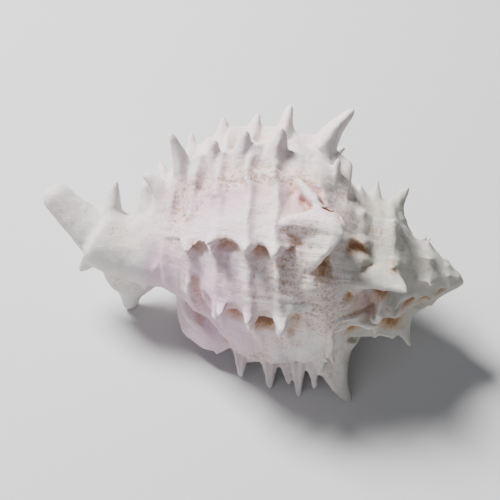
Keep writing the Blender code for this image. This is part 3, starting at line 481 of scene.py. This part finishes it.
class Rim:
    """The rim of one row, at every station across the whorl."""

    def __init__(self, row, station, radius):
        self.angle, crest, overhang, foot, hollow, self.fade = row
        cusp, closing = cusps(station), rising(radius, CLOSING)
        self.scale = whorl_scale(self.angle) ** share_of_scale(station)
        self.reach = np.maximum(self.scale * radius, LEAST_REACH)
        if isinstance(crest, tuple):
            line = np.array(sorted(crest))
            along = np.interp(APEX_X - station * self.scale, line[:, 0], line[:, 1], left=0, right=0)
            above = along - self.reach - self.scale * cord_height(station)
            size = self.scale * closing * np.clip(above / FULL_RIM, 0, 1)
            self.height = np.clip(above, 0, None) * closing * (1 - CREST_ON_CORDS * (1 - cusp))
        else:
            size = self.scale * rim_along(station) * closing * self.share(station)
            self.height = size * crest * (1 - RIM_ON_CORDS * (1 - cusp))
        between_cords = LOWER_ARCHES_BETWEEN if self.angle == LOWER_ARCHES else OVERHANG_BETWEEN
        self.overhang = size * overhang * (between_cords + (1 - between_cords) * cusp)
        if self.angle == UPPER_ARCHES:
            self.overhang = self.overhang + size * NECK_OVERHANG * rising(station, NECK_OVERHANG_RISES)
        self.foot = size * foot * (1 - FOOT_ON_CORDS * (1 - cusp)) + LEAST_FOOT
        self.hollow = size * hollow * (1 - cusp) - 0.7 * self.overhang * cusp
        if foot > RIDGE_FOOT:
            self.foot = self.foot * (1 + 0.5 * rising(station, RIDGE_FOOT_GROWS))
            self.hollow = self.hollow - 0.35 * self.foot

    def share(self, station):
        """The arches stand on the body alone."""
        if self.angle == LOWER_ARCHES:
            return rising(station, ARCHES_RISE) * (1 - rising(station, LOWER_ARCHES_FALL))
        return rising(station, ARCHES_RISE) if self.angle == UPPER_ARCHES else 1.0


def rows():
    known = [row[:6] for row in EARLIER_ROWS + LAST_WHORL_ROWS]
    first = LIP_ANGLE - 360 * WHORLS
    spire = np.arange(known[0][0] - SPIRE_ROW_STEP, first, -SPIRE_ROW_STEP)[::-1]
    return [(angle,) + SPIRE_ROW for angle in spire] + known


def whorl_surface(outline):
    """Grid of points on the coiled surface: by turns the fall behind a rim and the wall of the next."""
    station, radius = outline[None, :, 0], outline[None, :, 1]
    cord, cusp, closing = cord_height(station), cusps(station), rising(radius, CLOSING)
    points = []

    def add(angle, scale, height):
        r = scale * radius + closing * (height + scale * cord)
        at = outward(angle) * r[..., None]
        at[..., 0] += APEX_X - station * scale
        points.append(at)

    rims = [Rim(row, station, radius) for row in rows()]
    q = np.linspace(0, 1, FALL_STEPS, endpoint=False)[:, None]
    q = 0.5 * q + 0.5 * q**1.4
    u = np.linspace(0, 1, WALL_STEPS, endpoint=False)[:, None]
    for before, rim in zip(rims[:-1], rims[1:]):
        start = before.angle - np.degrees(before.overhang / before.reach)
        end = rim.angle - np.degrees((rim.overhang + rim.foot) / rim.reach)
        angle = start + (end - start) * q
        scale = whorl_scale(angle) ** share_of_scale(station)
        fall = before.height * np.clip(1 - q / before.fade, 0, 1) ** FALL_POWER
        knob = knobs(angle, station) * np.clip(1 - q / KNOB_FADE, 0, 1) ** FALL_POWER
        add(angle, scale, fall + knob * scale)
        shift = bezier(-(rim.overhang + rim.foot), 1.2 * rim.hollow, 1.3 * rim.hollow, -rim.overhang, u)
        dip = -0.10 * rim.height * (1 - cusp) * (rim.hollow > 0)
        edge = rim.height - np.minimum(0.9 * rim.scale, 0.3 * rim.height)
        rise = bezier(0.0, dip, 0.40 * rim.height, edge, u)
        knob = knobs(rim.angle, station) * rim.scale * u**FALL_POWER
        add(rim.angle + np.degrees(shift / rim.reach), rim.scale, rise + knob)
    add(rim.angle - np.degrees(rim.overhang / rim.reach), rim.scale, rim.height)
    return np.concatenate(points)


def surface_radius(angle, x, outline):
    scale = whorl_scale(angle) ** share_of_scale(outline[:, 0])
    return float(np.interp(APEX_X - x, outline[:, 0] * scale, outline[:, 1] * scale))


def closed_grid(points):
    rings, sides = points.shape[:2]
    index = np.arange(rings * sides).reshape(rings, sides)
    a, b = index[:-1], index[1:]
    quads = np.stack([a, np.roll(a, -1, 1), np.roll(b, -1, 1), b], -1).reshape(-1, 4)
    return points.reshape(-1, 3), quads.tolist() + [index[0][::-1].tolist(), index[-1].tolist()]


def tapered(path, widths, side, blade=None, groove=0.0, sides=28):
    """Solid along a path. Its back is drawn out to a blade, and its front may carry a groove."""
    path = np.array(path, float)
    turn = np.linspace(0, 2 * np.pi, sides, endpoint=False)
    c, s = np.cos(turn), np.sin(turn)
    rings = []
    for i, (centre, width) in enumerate(zip(path, widths)):
        direction = path[min(i + 1, len(path) - 1)] - path[max(i - 1, 0)]
        direction = direction / np.linalg.norm(direction)
        across = side - direction * (side @ direction)
        across = across / np.linalg.norm(across)
        deep = np.cross(direction, across)
        drawn = 1.0 if blade is None else blade[i]
        back = s < 0
        x = np.where(back & (drawn > 1), c * np.abs(c) ** 0.6, c)
        y = np.where(back, s * drawn, s) - groove * np.exp(-(((turn - np.pi / 2) / 0.5) ** 2))
        rings.append(centre + width * (x[:, None] * across + y[:, None] * deep))
    return closed_grid(np.array(rings))


def horn(foot, tip, way, half_width, tip_width, side, blade=1.0, groove=0.0, flare=0.5, steps=16):
    """Spine from foot to tip: it leaves the surface squarely, flares at its foot and ends rounded."""
    foot, tip = np.array(foot, float), np.array(tip, float)
    length = np.linalg.norm(tip - foot)
    bend = foot + way * length * 0.5
    s = np.linspace(0, 1, steps)[:, None]
    path = (1 - s) ** 2 * foot + 2 * s * (1 - s) * bend + s**2 * tip
    s = s[:, 0]
    widths = tip_width + (half_width - tip_width) * (1 - s) + half_width * flare * (1 - s) ** 6
    widths[-1] = tip_width * 0.45
    return tapered(path, widths, side, 1 + blade * (1 - s) ** 1.5, groove)


def polar(points):
    p = np.array(points, float)
    made = outward(p[..., 1]) * p[..., 2:3]
    made[..., 0] += p[..., 0]
    return made


def plate(outer, inner, thickness, sides=24, steps=28):
    """Thin solid with rounded edges between two lines."""
    outer, inner = smooth_path(outer, steps), smooth_path(inner, steps)
    turn = np.linspace(0, 2 * np.pi, sides, endpoint=False)
    middle, across = (outer + inner) / 2, (outer - inner) / 2
    direction = np.gradient(middle, axis=0)
    flat = np.cross(direction, across)
    flat = flat / np.linalg.norm(flat, axis=1)[:, None]
    swell = thickness * np.sin(np.linspace(0.35, np.pi - 0.35, steps)) ** 0.4
    c = np.sign(np.cos(turn)) * np.abs(np.cos(turn)) ** 0.7
    rings = middle[:, None] + across[:, None] * c[None, :, None]
    rings = rings + flat[:, None] * swell[:, None, None] * np.sin(turn)[None, :, None]
    return closed_grid(rings)


def between(rows, count):
    """Grid refined by smooth curves along its rows and then across them."""
    wide = [smooth_path(row, count) for row in rows]
    return np.stack([smooth_path([row[i] for row in wide], count) for i in range(count)], 1)


def nose():
    """The fold as a solid: its outer face, and an inner face sunk into the whorl."""
    outer = between(NOSE, NOSE_STEPS)
    inner = outer.copy()
    inner[..., :2] += (np.array(NOSE_MIDDLE) - inner[..., :2]) * NOSE_TAPER
    inner[..., 2] -= NOSE_DEPTH
    rings = np.concatenate([polar(outer), polar(inner)[:, ::-1]], 1)
    return closed_grid(rings)


def plates():
    for thickness, outer, inner in PLATES:
        yield plate(polar(outer), polar(inner), thickness)
    for thickness, outer, inner in BROAD_PLATES:
        yield plate(outer, inner, thickness)


def row_spines(outline):
    for angle, _, _, _, _, _, lean, spines in EARLIER_ROWS + LAST_WHORL_ROWS:
        out = outward(np.array(angle))
        front = angle in (STOUT_ROW, SKYLINE_ROW)
        sink, blade, flare = (6.0, 1.1, 0.0) if front else (1.5, 0.3, 0.5)
        groove = 0.55 if angle in (LOWER_EDGE, SHELF_ROW) else 0.25
        for foot_x, tip_x, tip_radius, half_width in spines:
            small = half_width < SMALL_SPINE
            foot = out * (surface_radius(angle, foot_x, outline) - sink) + ALONG * foot_x
            tip = outward(np.array(angle - lean)) * tip_radius + ALONG * tip_x
            tip_width = 0.32 * half_width if small and angle == LOWER_EDGE else 0.12 * half_width + 0.35
            wide = 1.35 if small and front else 1.0
            yield horn(foot, tip, out, half_width * wide, tip_width, ALONG, blade, groove, flare)


def free_spines():
    for foot, tip, half_width, tip_width in NECK_SPINES:
        way = np.array(tip) - np.array(foot)
        way = way / np.linalg.norm(way)
        flare = 0.5 if half_width < BROAD_STUB else 0.0
        yield horn(foot, tip, way, half_width, tip_width, ALONG, 0.2, flare=flare)
    for foot, tip, half_width, tip_width in FOLDS:
        at, end = polar(foot), polar(tip)
        way = (end - at) / np.linalg.norm(end - at) + 0.35 * outward(np.array(foot[1]))
        yield horn(at, end, way / np.linalg.norm(way), half_width, tip_width, onward(np.array(foot[1])), 0.0)


def canal():
    line = smooth_path(CANAL, 40)
    path, widths = line[:, :3], line[:, 3].copy()
    way = (path[-1] - path[-2]) / np.linalg.norm(path[-1] - path[-2])
    path = np.vstack([path] + [path[-1] + way * CANAL_END * place for place, _ in CANAL_END_RINGS])
    widths = np.concatenate([widths, [widths[-1] * share for _, share in CANAL_END_RINGS]])
    return tapered(path, widths, ACROSS, sides=40)


def collar():
    line = smooth_path(COLLAR, 30)
    return tapered(line[:, :3], line[:, 3], ACROSS, sides=40)


def inner_lip():
    line = smooth_path(INNER_LIP, 30)
    swell = np.sin(np.linspace(0.15, np.pi - 0.15, len(line))) ** 0.5
    return tapered(line, INNER_LIP_THICKNESS * swell, np.array([0.0, 0.6, 0.8]), sides=24)


def aperture_hollow():
    turn = np.linspace(0, 2 * np.pi, 48, endpoint=False)
    rings = []
    for angle, radius, x, out_size, along_size in smooth_path(APERTURE, 40):
        along = along_size * np.sin(turn)
        ring = outward(np.array(angle)) * (radius + out_size * np.cos(turn) + APERTURE_TILT * along)[:, None]
        ring[:, 0] += x + along
        rings.append(ring)
    return closed_grid(np.array(rings))


def channel():
    line = smooth_path(CHANNEL, 30)
    return tapered(line[:, :3], line[:, 3], ACROSS, sides=20)


def mesh_object(name, pieces):
    vertices, faces, start = [], [], 0
    for points, piece_faces in pieces:
        vertices.append(points)
        faces += [[start + i for i in face] for face in piece_faces]
        start += len(points)
    mesh = bpy.data.meshes.new(name)
    shift = np.array([-MIDDLE_X, -MIDDLE_Y, AXIS_HEIGHT])
    mesh.from_pydata(((np.vstack(vertices) + shift) * MM).tolist(), [], faces)
    edit = bmesh.new()
    edit.from_mesh(mesh)
    bmesh.ops.recalc_face_normals(edit, faces=edit.faces)
    edit.to_mesh(mesh)
    edit.free()
    made = bpy.data.objects.new(name, mesh)
    bpy.context.collection.objects.link(made)
    return made


def apply_modifiers(target):
    for other in bpy.context.selected_objects:
        other.select_set(False)
    bpy.context.view_layer.objects.active = target
    target.select_set(True)
    for modifier in list(target.modifiers):
        bpy.ops.object.modifier_apply(modifier=modifier.name)


def fuse(target, voxel):
    remesh = target.modifiers.new("Fuse", "REMESH")
    remesh.mode = "VOXEL"
    remesh.voxel_size = voxel * MM
    apply_modifiers(target)


def cut(target, cutter):
    boolean = target.modifiers.new("Cut", "BOOLEAN")
    boolean.operation = "DIFFERENCE"
    boolean.solver = "MANIFOLD"
    boolean.object = cutter
    apply_modifiers(target)
    bpy.data.objects.remove(cutter)


def keep_largest(target):
    edit = bmesh.new()
    edit.from_mesh(target.data)
    edit.verts.ensure_lookup_table()
    seen = np.zeros(len(edit.verts), bool)
    groups = []
    for vertex in edit.verts:
        if seen[vertex.index]:
            continue
        seen[vertex.index] = True
        group, stack = [], [vertex]
        while stack:
            v = stack.pop()
            group.append(v)
            for e in v.link_edges:
                w = e.other_vert(v)
                if not seen[w.index]:
                    seen[w.index] = True
                    stack.append(w)
        groups.append(group)
    groups.sort(key=len)
    for group in groups[:-1]:
        bmesh.ops.delete(edit, geom=group, context="VERTS")
    edit.to_mesh(target.data)
    edit.free()


def cut_at_floor(target):
    edit = bmesh.new()
    edit.from_mesh(target.data)
    geometry = list(edit.verts) + list(edit.edges) + list(edit.faces)
    bmesh.ops.bisect_plane(edit, geom=geometry, plane_co=(0, 0, 0), plane_no=(0, 0, -1), clear_outer=True)
    rim = [e for e in edit.edges if e.is_boundary]
    bmesh.ops.holes_fill(edit, edges=rim)
    edit.to_mesh(target.data)
    edit.free()


def coordinates(mesh):
    co = np.empty(len(mesh.vertices) * 3)
    mesh.vertices.foreach_get("co", co)
    return co.reshape(-1, 3) / MM + np.array([MIDDLE_X, MIDDLE_Y, -AXIS_HEIGHT])


def lattice(cell):
    h = cell[..., 0] * 73856093 ^ cell[..., 1] * 19349663 ^ cell[..., 2] * 83492791
    h = (h ^ (h >> 13)) * 1274126177 & 0xFFFFFFFF
    return ((h ^ (h >> 15)) & 0xFFFF) / 65535.0


def noise(p):
    """Smooth value noise from -1 to 1 at points, with one cell to the unit."""
    cell = np.floor(p).astype(np.int64)
    f = p - cell
    f = f * f * (3 - 2 * f)
    total = 0
    for dx in (0, 1):
        for dy in (0, 1):
            for dz in (0, 1):
                weight = (f[:, 0] if dx else 1 - f[:, 0]) * (f[:, 1] if dy else 1 - f[:, 1])
                weight = weight * (f[:, 2] if dz else 1 - f[:, 2])
                total = total + weight * lattice(cell + np.array([dx, dy, dz]))
    return 2 * total - 1


def polar_of(p):
    return p[:, 0], np.degrees(np.arctan2(p[:, 2], -p[:, 1])), np.hypot(p[:, 1], p[:, 2])


def patch(value, middle, half):
    return ((value - middle) / half) ** 2


def patches(table, x, angle):
    total = np.zeros_like(x)
    for middle, at, half, around, share in table:
        total += share * np.exp(-patch(x, middle, half) - patch(angle, at, around))
    return total


class Skin:
    """The mesh's points from the axis in millimetres, with what the relief and the colours need."""

    def __init__(self, mesh):
        self.mesh = mesh
        self.count = len(mesh.vertices)
        edges = np.empty(len(mesh.edges) * 2, int)
        mesh.edges.foreach_get("vertices", edges)
        self.edges = edges.reshape(-1, 2)
        self.degree = np.bincount(edges, minlength=self.count)
        self.points = coordinates(mesh)

    def mean(self, values):
        a, b = self.edges.T
        total = [np.bincount(a, v[b], self.count) + np.bincount(b, v[a], self.count) for v in values.T]
        return np.stack(total, -1) / self.degree[:, None]

    def smooth(self, weight, times):
        for _ in range(times):
            self.points = self.points + weight * (self.mean(self.points) - self.points)

    def store(self):
        moved = (self.points - np.array([MIDDLE_X, MIDDLE_Y, -AXIS_HEIGHT])) * MM
        self.mesh.vertices.foreach_set("co", moved.ravel())
        self.mesh.update()

    def normals(self):
        self.store()
        n = np.empty(self.count * 3)
        self.mesh.vertex_normals.foreach_get("vector", n)
        return n.reshape(-1, 3)

    def hollowness(self, times):
        """How far each point lies below the mean of its surroundings, along the normal."""
        normals, wide = self.normals(), self.points
        for _ in range(times):
            wide = self.mean(wide)
        return ((wide - self.points) * normals).sum(1)


def round_off(skin):
    """Wears every edge a little, and the neck, the spire and the worn places more."""
    x, angle, _ = polar_of(skin.points)
    worn = WORN_NECK * rising(x, NECK_BEGINS) + WORN_SPIRE * rising(x, SPIRE_BEGINS) + patches(WORN, x, angle)
    skin.smooth(0.5, ROUNDING)
    skin.smooth(np.clip(worn, 0, MOST_WORN)[:, None], 4 * ROUNDING)


def texture(points, wrinkled, body):
    """Height of the lumps, the growth lines and the spiral threads."""
    x, angle, r = polar_of(points)
    height = sum(tall * noise(points / width + shift) for width, tall, shift in LUMPS)
    ring = np.stack([-np.cos(np.radians(angle)), np.sin(np.radians(angle)), x * 0.0], -1)
    warp = 0.6 * noise(points / 6.0 + 11)[:, None]
    lines = noise(ring * GROWTH_LINES + warp + np.outer(x, (0.05, 0.03, 0.08)))
    fine = noise(ring * FINE_GROWTH_LINES + 2 * warp + np.outer(x, (0.10, 0.07, 0.12)) + 90)
    thick = np.clip(r / 26, 0.2, 1) ** 1.5
    height += body * thick * ((GROWTH_HEIGHT + WRINKLE_HEIGHT * wrinkled) * lines + FINE_GROWTH_HEIGHT * fine)
    thread = np.stack([x / THREAD_WIDTH + 0.8 * warp[:, 0], ring[:, 0] * 3, ring[:, 1] * 3], -1)
    return height + body * THREAD_HEIGHT * noise(thread + 50)


def relief(skin):
    """Moves the surface into its relief, and returns how brown (painted shade in the hollows under the rims,
    partly real stain), how pink (painted shade in hollows and grooves) and how wrinkled it is.
    """
    points, normals = skin.points, skin.normals()
    x, angle, r = polar_of(points)
    out, on = outward(angle), onward(angle)
    body = rising(x, BODY_ALONG) * rising(r, BODY_OUT)
    wrinkled = np.clip(patches(STAINS, x, angle), 0, 1)
    moved = normals * texture(points, wrinkled, body)[:, None]
    moved[:, 0] += SWAY_ALONG * body * noise(points / SWAY_ALONG_LENGTH + 3)
    moved += (SWAY_AROUND * body * noise(points / SWAY_AROUND_LENGTH + 60))[:, None] * on
    open_side = rising((normals * out).sum(1), OPEN_SIDE)
    brown_shade_and_stain, pink_painted_shade = np.zeros(skin.count), np.zeros(skin.count)
    uneven = 1 + 0.35 * noise(points / 1.6 + 17)
    for spot_x, at, radius, half, around, depth, brown_share, pink_share in SPOTS:
        away = patch(r, radius, np.where(r > radius, HOLLOW_ABOVE, HOLLOW_BELOW))
        q = patch(x, spot_x, half) + patch(np.radians(angle - at) * radius, 0, around) + away
        q = q * uneven
        way = HOLLOW_ONWARD * on - HOLLOW_INWARD * out
        moved += (depth * np.exp(-q * q) * open_side)[:, None] * way
        # Brown and pink keep below the rim's level, in the hollow under it, where they paint its shade
        q = q + np.clip(r - radius - 1.0, 0, None) ** 2
        brown_shade_and_stain += brown_share * np.exp(-0.8 * q)
        pink_painted_shade += pink_share * np.exp(-0.6 * q)
    # Grooves carry pink painted shade
    for half, tall, pink_share, line in LINES:
        share = beside_line(line, half, x, angle, r) ** (1 + 0.3 * noise(points / 1.2 + 40))
        moved += (tall * share * open_side)[:, None] * normals
        pink_painted_shade += pink_share * share
    skin.points = points + moved
    return np.clip(brown_shade_and_stain, 0, 1), np.clip(pink_painted_shade, 0, 1), wrinkled


def beside_line(line, half, x, angle, r):
    """1 on the line, falling off to its sides."""
    line = smooth_path(line, 240)
    low, high = line.min(0), line.max(0)
    around = (angle > low[1] - 10) & (angle < high[1] + 10)
    beside = np.flatnonzero((x > low[0] - 3) & (x < high[0] + 3) & around)
    least = np.full(len(x), 99.0)
    for line_x, at, radius in line:
        away = patch(r[beside], radius, LINE_REACH) + patch(np.radians(angle[beside] - at) * radius, 0, half)
        least[beside] = np.minimum(least[beside], away + patch(x[beside], line_x, half))
    return np.exp(-least)


def put(mesh, name, values):
    mesh.attributes.new(name, "FLOAT", "POINT").data.foreach_set("value", values.astype(np.float32))


def colour_fields(skin, brown_shade_and_stain, pink_painted_shade, wrinkled):
    """What the colours go by, by name."""
    # Near and wide hollowness carry the painted shade of the hollows and the painted highlight of convex
    # places
    near, wide = skin.hollowness(NEAR_ROUNDS), skin.hollowness(WIDE_ROUNDS)
    x, angle, _ = polar_of(skin.points)
    lilac_and_shade = np.exp(-patch(angle, *LILAC_FRONT)) * rising(x, LILAC_RISES)
    lilac_and_shade = lilac_and_shade + WEAK_LILAC * rising(x, WEAK_LILAC_RISES) + patches(LILAC_PATCHES, x, angle)
    return {
        "brown_shade_and_stain": brown_shade_and_stain, "pink_painted_shade": pink_painted_shade, "wrinkled": wrinkled, "near": near, "wide": wide,
        "spire": rising(x, GREY_RISES), "canal": rising(x, CANAL_GREY_RISES),
        "lilac_and_shade": np.clip(lilac_and_shade, 0, 1) * rising(x, LILAC_ENDS),
        "growth_y": -np.cos(np.radians(angle)), "growth_z": np.sin(np.radians(angle)),
    }


def solids():
    outline = smooth_path(OUTLINE, OUTLINE_STEPS)
    grown = [closed_grid(whorl_surface(outline)), *row_spines(outline), *free_spines(), *plates()]
    return grown + [nose(), canal(), collar(), inner_lip()]


def fewer_faces(target):
    count = sum(len(p.vertices) - 2 for p in target.data.polygons)
    if count > FACES:
        target.modifiers.new("Fewer faces", "DECIMATE").ratio = FACES / count
        apply_modifiers(target)


class Nodes:
    """Short ways to add nodes to a material."""

    def __init__(self, material):
        self.nodes, self.links = material.node_tree.nodes, material.node_tree.links
        self.place = self.nodes.new("ShaderNodeTexCoord").outputs["Object"]

    def fill(self, socket, value):
        if isinstance(value, (int, float)):
            socket.default_value = value
        elif isinstance(value, tuple):
            socket.default_value = value + (1.0,)
        else:
            self.links.new(value, socket)

    def attribute(self, name):
        node = self.nodes.new("ShaderNodeAttribute")
        node.attribute_name = name
        return node.outputs["Fac"]

    def grain(self, scale, detail=4.0, vector=None, rough=0.6, bend=0.0):
        node = self.nodes.new("ShaderNodeTexNoise")
        node.inputs["Scale"].default_value = scale
        node.inputs["Detail"].default_value = detail
        node.inputs["Roughness"].default_value = rough
        node.inputs["Distortion"].default_value = bend
        self.links.new(vector or self.place, node.inputs["Vector"])
        return node.outputs["Fac"]

    def span(self, value, low, high, to_low=0.0, to_high=1.0):
        node = self.nodes.new("ShaderNodeMapRange")
        node.inputs["From Min"].default_value = low
        node.inputs["From Max"].default_value = high
        node.inputs["To Min"].default_value = to_low
        node.inputs["To Max"].default_value = to_high
        self.links.new(value, node.inputs["Value"])
        return node.outputs["Result"]

    def work(self, operation, a, b):
        node = self.nodes.new("ShaderNodeMath")
        node.operation = operation
        self.fill(node.inputs[0], a)
        self.fill(node.inputs[1], b)
        return node.outputs[0]

    def times(self, a, b):
        return self.work("MULTIPLY", a, b)

    def plus(self, a, b):
        return self.work("ADD", a, b)

    def most(self, a, b):
        return self.work("MINIMUM", a, b)

    def mix(self, share, a, b):
        node = self.nodes.new("ShaderNodeMix")
        node.data_type = "RGBA"
        self.fill(node.inputs[0], share)
        self.fill(node.inputs[6], a)
        self.fill(node.inputs[7], b)
        return node.outputs[2]

    def growth(self):
        """Coordinates that run round the coil, so that noise is drawn out along X."""
        split = self.nodes.new("ShaderNodeSeparateXYZ")
        joined = self.nodes.new("ShaderNodeCombineXYZ")
        self.links.new(self.place, split.inputs[0])
        self.links.new(self.attribute("growth_y"), joined.inputs[0])
        self.links.new(self.attribute("growth_z"), joined.inputs[1])
        self.links.new(self.times(split.outputs[0], 5.0), joined.inputs[2])
        return joined.outputs[0]


def base_colour(n, blotch, streak):
    """White with cream blotches, lilac on the body that is partly the shell's tint and partly painted shade
    on the lower front, grey on the spire and the canal, rose painted shade in wide hollows, and pink painted
    shade.
    """
    colour = n.mix(n.span(blotch, 0.40, 0.66), WHITE, CREAM)
    # Lilac: the shell's tint, and painted shade on the lower front
    colour = n.mix(n.times(n.attribute("lilac_and_shade"), n.span(blotch, 0.30, 0.75, 1.0, 0.35)), colour, LILAC)
    colour = n.mix(n.times(n.attribute("spire"), n.span(blotch, 0.3, 0.7, 0.65, 1.0)), colour, GREY)
    colour = n.mix(n.times(n.attribute("canal"), 0.55), colour, CANAL_GREY)
    # Rose in the wide hollows is painted shade
    hollow = n.times(n.span(n.attribute("wide"), 0.10, 0.9), n.span(streak, 0.35, 0.65, 0.25, 0.75))
    colour = n.mix(hollow, colour, ROSE_SHADE)
    # Pink in the hollows and grooves is painted shade
    return n.mix(n.times(n.attribute("pink_painted_shade"), 0.75), colour, PINK_SHADE)


def stained_and_shaded_colour(n, colour, blotch, streak, speck):
    """Tan in narrow hollows as painted shade and warm reflected light, partly dirt; rust freckles and lines;
    brown hollows as painted shade, partly real stain; and white as a painted highlight on the most convex
    places.
    """
    near, wrinkled = n.attribute("near"), n.attribute("wrinkled")
    # Tan in the narrow hollows: painted shade and warm reflected light, partly dirt in the pits
    colour = n.mix(n.times(n.span(near, 0.02, 0.22), n.span(blotch, 0.42, 0.60, 0.15, 0.8)), colour, TAN)
    amount = n.plus(n.plus(wrinkled, n.span(near, 0.0, 0.2, 0.0, 0.6)), 0.12)
    freckle = n.times(n.times(n.span(speck, 0.50, 0.62), n.span(blotch, 0.38, 0.56, 0.2, 1.0)), amount)
    colour = n.mix(n.most(n.times(freckle, 1.3), 0.75), colour, RUST)
    soft = n.span(n.grain(CLOUDS, 5.0), 0.44, 0.66, 0.0, 0.55)
    colour = n.mix(n.times(wrinkled, soft), colour, TAN)
    colour = n.mix(n.times(n.times(n.span(streak, 0.56, 0.66), wrinkled), 0.45), colour, RUST)
    # Ochre to brown in the hollows under the rims: painted shade, partly real stain
    patchy = n.span(n.plus(blotch, n.times(speck, 0.5)), 0.55, 0.85, 0.55, 1.25)
    deep = n.times(n.attribute("brown_shade_and_stain"), patchy)
    dark = n.mix(n.span(deep, 0.3, 1.0), OCHRE, BROWN)
    colour = n.mix(n.most(n.span(deep, 0.10, 0.75), 0.92), colour, dark)
    # White on the most convex places is a painted highlight
    return n.mix(n.span(near, -0.25, -0.03, 0.6, 0.0), colour, WHITE)


def shell_material():
    material = bpy.data.materials.new("worn_shell")
    material.use_nodes = True
    n = Nodes(material)
    growth = n.growth()
    blotch = n.grain(BLOTCHES, 3.0)
    speck = n.grain(SPECKS, 5.0, rough=0.7)
    streak = n.grain(STREAKS, 5.0, growth, 0.65, 0.8)
    shader = material.node_tree.nodes["Principled BSDF"]
    colour = stained_and_shaded_colour(n, base_colour(n, blotch, streak), blotch, streak, speck)
    n.links.new(colour, shader.inputs["Base Color"])
    shader.inputs["Roughness"].default_value = ROUGHNESS
    shader.inputs["Specular IOR Level"].default_value = GLOSS
    bump = n.nodes.new("ShaderNodeBump")
    bump.inputs["Strength"].default_value = BUMP_STRENGTH
    bump.inputs["Distance"].default_value = BUMP_HEIGHT * MM
    ridged = n.plus(n.times(n.grain(FINE_RIDGES, 4.0, growth, 0.6, 1.2), 0.7), n.times(speck, 0.5))
    n.links.new(ridged, bump.inputs["Height"])
    n.links.new(bump.outputs[0], shader.inputs["Normal"])
    return material


# Shell
shell = mesh_object("shell_look", solids())
fuse(shell, VOXEL)
cut(shell, mesh_object("aperture_cutter", [aperture_hollow()]))
cut(shell, mesh_object("channel_cutter", [channel()]))
fuse(shell, VOXEL)
keep_largest(shell)
skin = Skin(shell.data)
round_off(skin)
for name, values in colour_fields(skin, *relief(skin)).items():
    put(shell.data, name, values)
skin.store()
fewer_faces(shell)
cut_at_floor(shell)
shell.data.shade_smooth()
shell.data.materials.clear()
shell.data.materials.append(shell_material())
shell.data.polygons.foreach_set("material_index", np.zeros(len(shell.data.polygons), int))
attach(shell, "root")
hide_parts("shell")

# Floor and room
bpy.ops.mesh.primitive_plane_add(size=6)
floor = bpy.context.object
floor.name = "floor"
floor_material = bpy.data.materials.new("floor")
floor_material.use_nodes = True
floor_shader = floor_material.node_tree.nodes["Principled BSDF"]
floor_shader.inputs["Base Color"].default_value = FLOOR_GREY + (1.0,)
floor_shader.inputs["Roughness"].default_value = 0.9
floor.data.materials.append(floor_material)

world = bpy.data.worlds.new("soft_room")
bpy.context.scene.world = world
world.use_nodes = True
world.node_tree.nodes["Background"].inputs[0].default_value = ROOM_LIGHT + (1.0,)
world.node_tree.nodes["Background"].inputs[1].default_value = ROOM_STRENGTH

# Lights and camera
azimuth, elevation = np.radians(AZIMUTH), np.radians(ELEVATION)
back = Vector((np.sin(azimuth) * np.cos(elevation), -np.cos(azimuth) * np.cos(elevation), np.sin(elevation)))
right = Vector((np.cos(azimuth), np.sin(azimuth), 0.0))
up = back.cross(right)
target = Vector((-MIDDLE_X, -MIDDLE_Y, AXIS_HEIGHT)) * MM

for name, (rightward, upward, backward), distance, size, power, colour in LIGHTS:
    way = rightward * right + upward * up + backward * back
    data = bpy.data.lights.new(name, "AREA")
    data.shape = "SQUARE"
    data.size = size
    data.energy = power
    data.color = colour
    light = bpy.data.objects.new(name, data)
    bpy.context.collection.objects.link(light)
    light.location = target + way.normalized() * distance
    light.rotation_euler = way.to_track_quat("Z", "Y").to_euler()

camera_data = bpy.data.cameras.new("camera")
camera_data.lens = LENS
camera_data.sensor_width = SENSOR
camera_data.clip_start = 0.01
camera = bpy.data.objects.new("camera", camera_data)
bpy.context.collection.objects.link(camera)
eye = target + back * CAMERA_DISTANCE
camera.matrix_world = Matrix([(right[i], up[i], back[i], eye[i]) for i in range(3)] + [(0, 0, 0, 1)])
bpy.context.scene.camera = camera
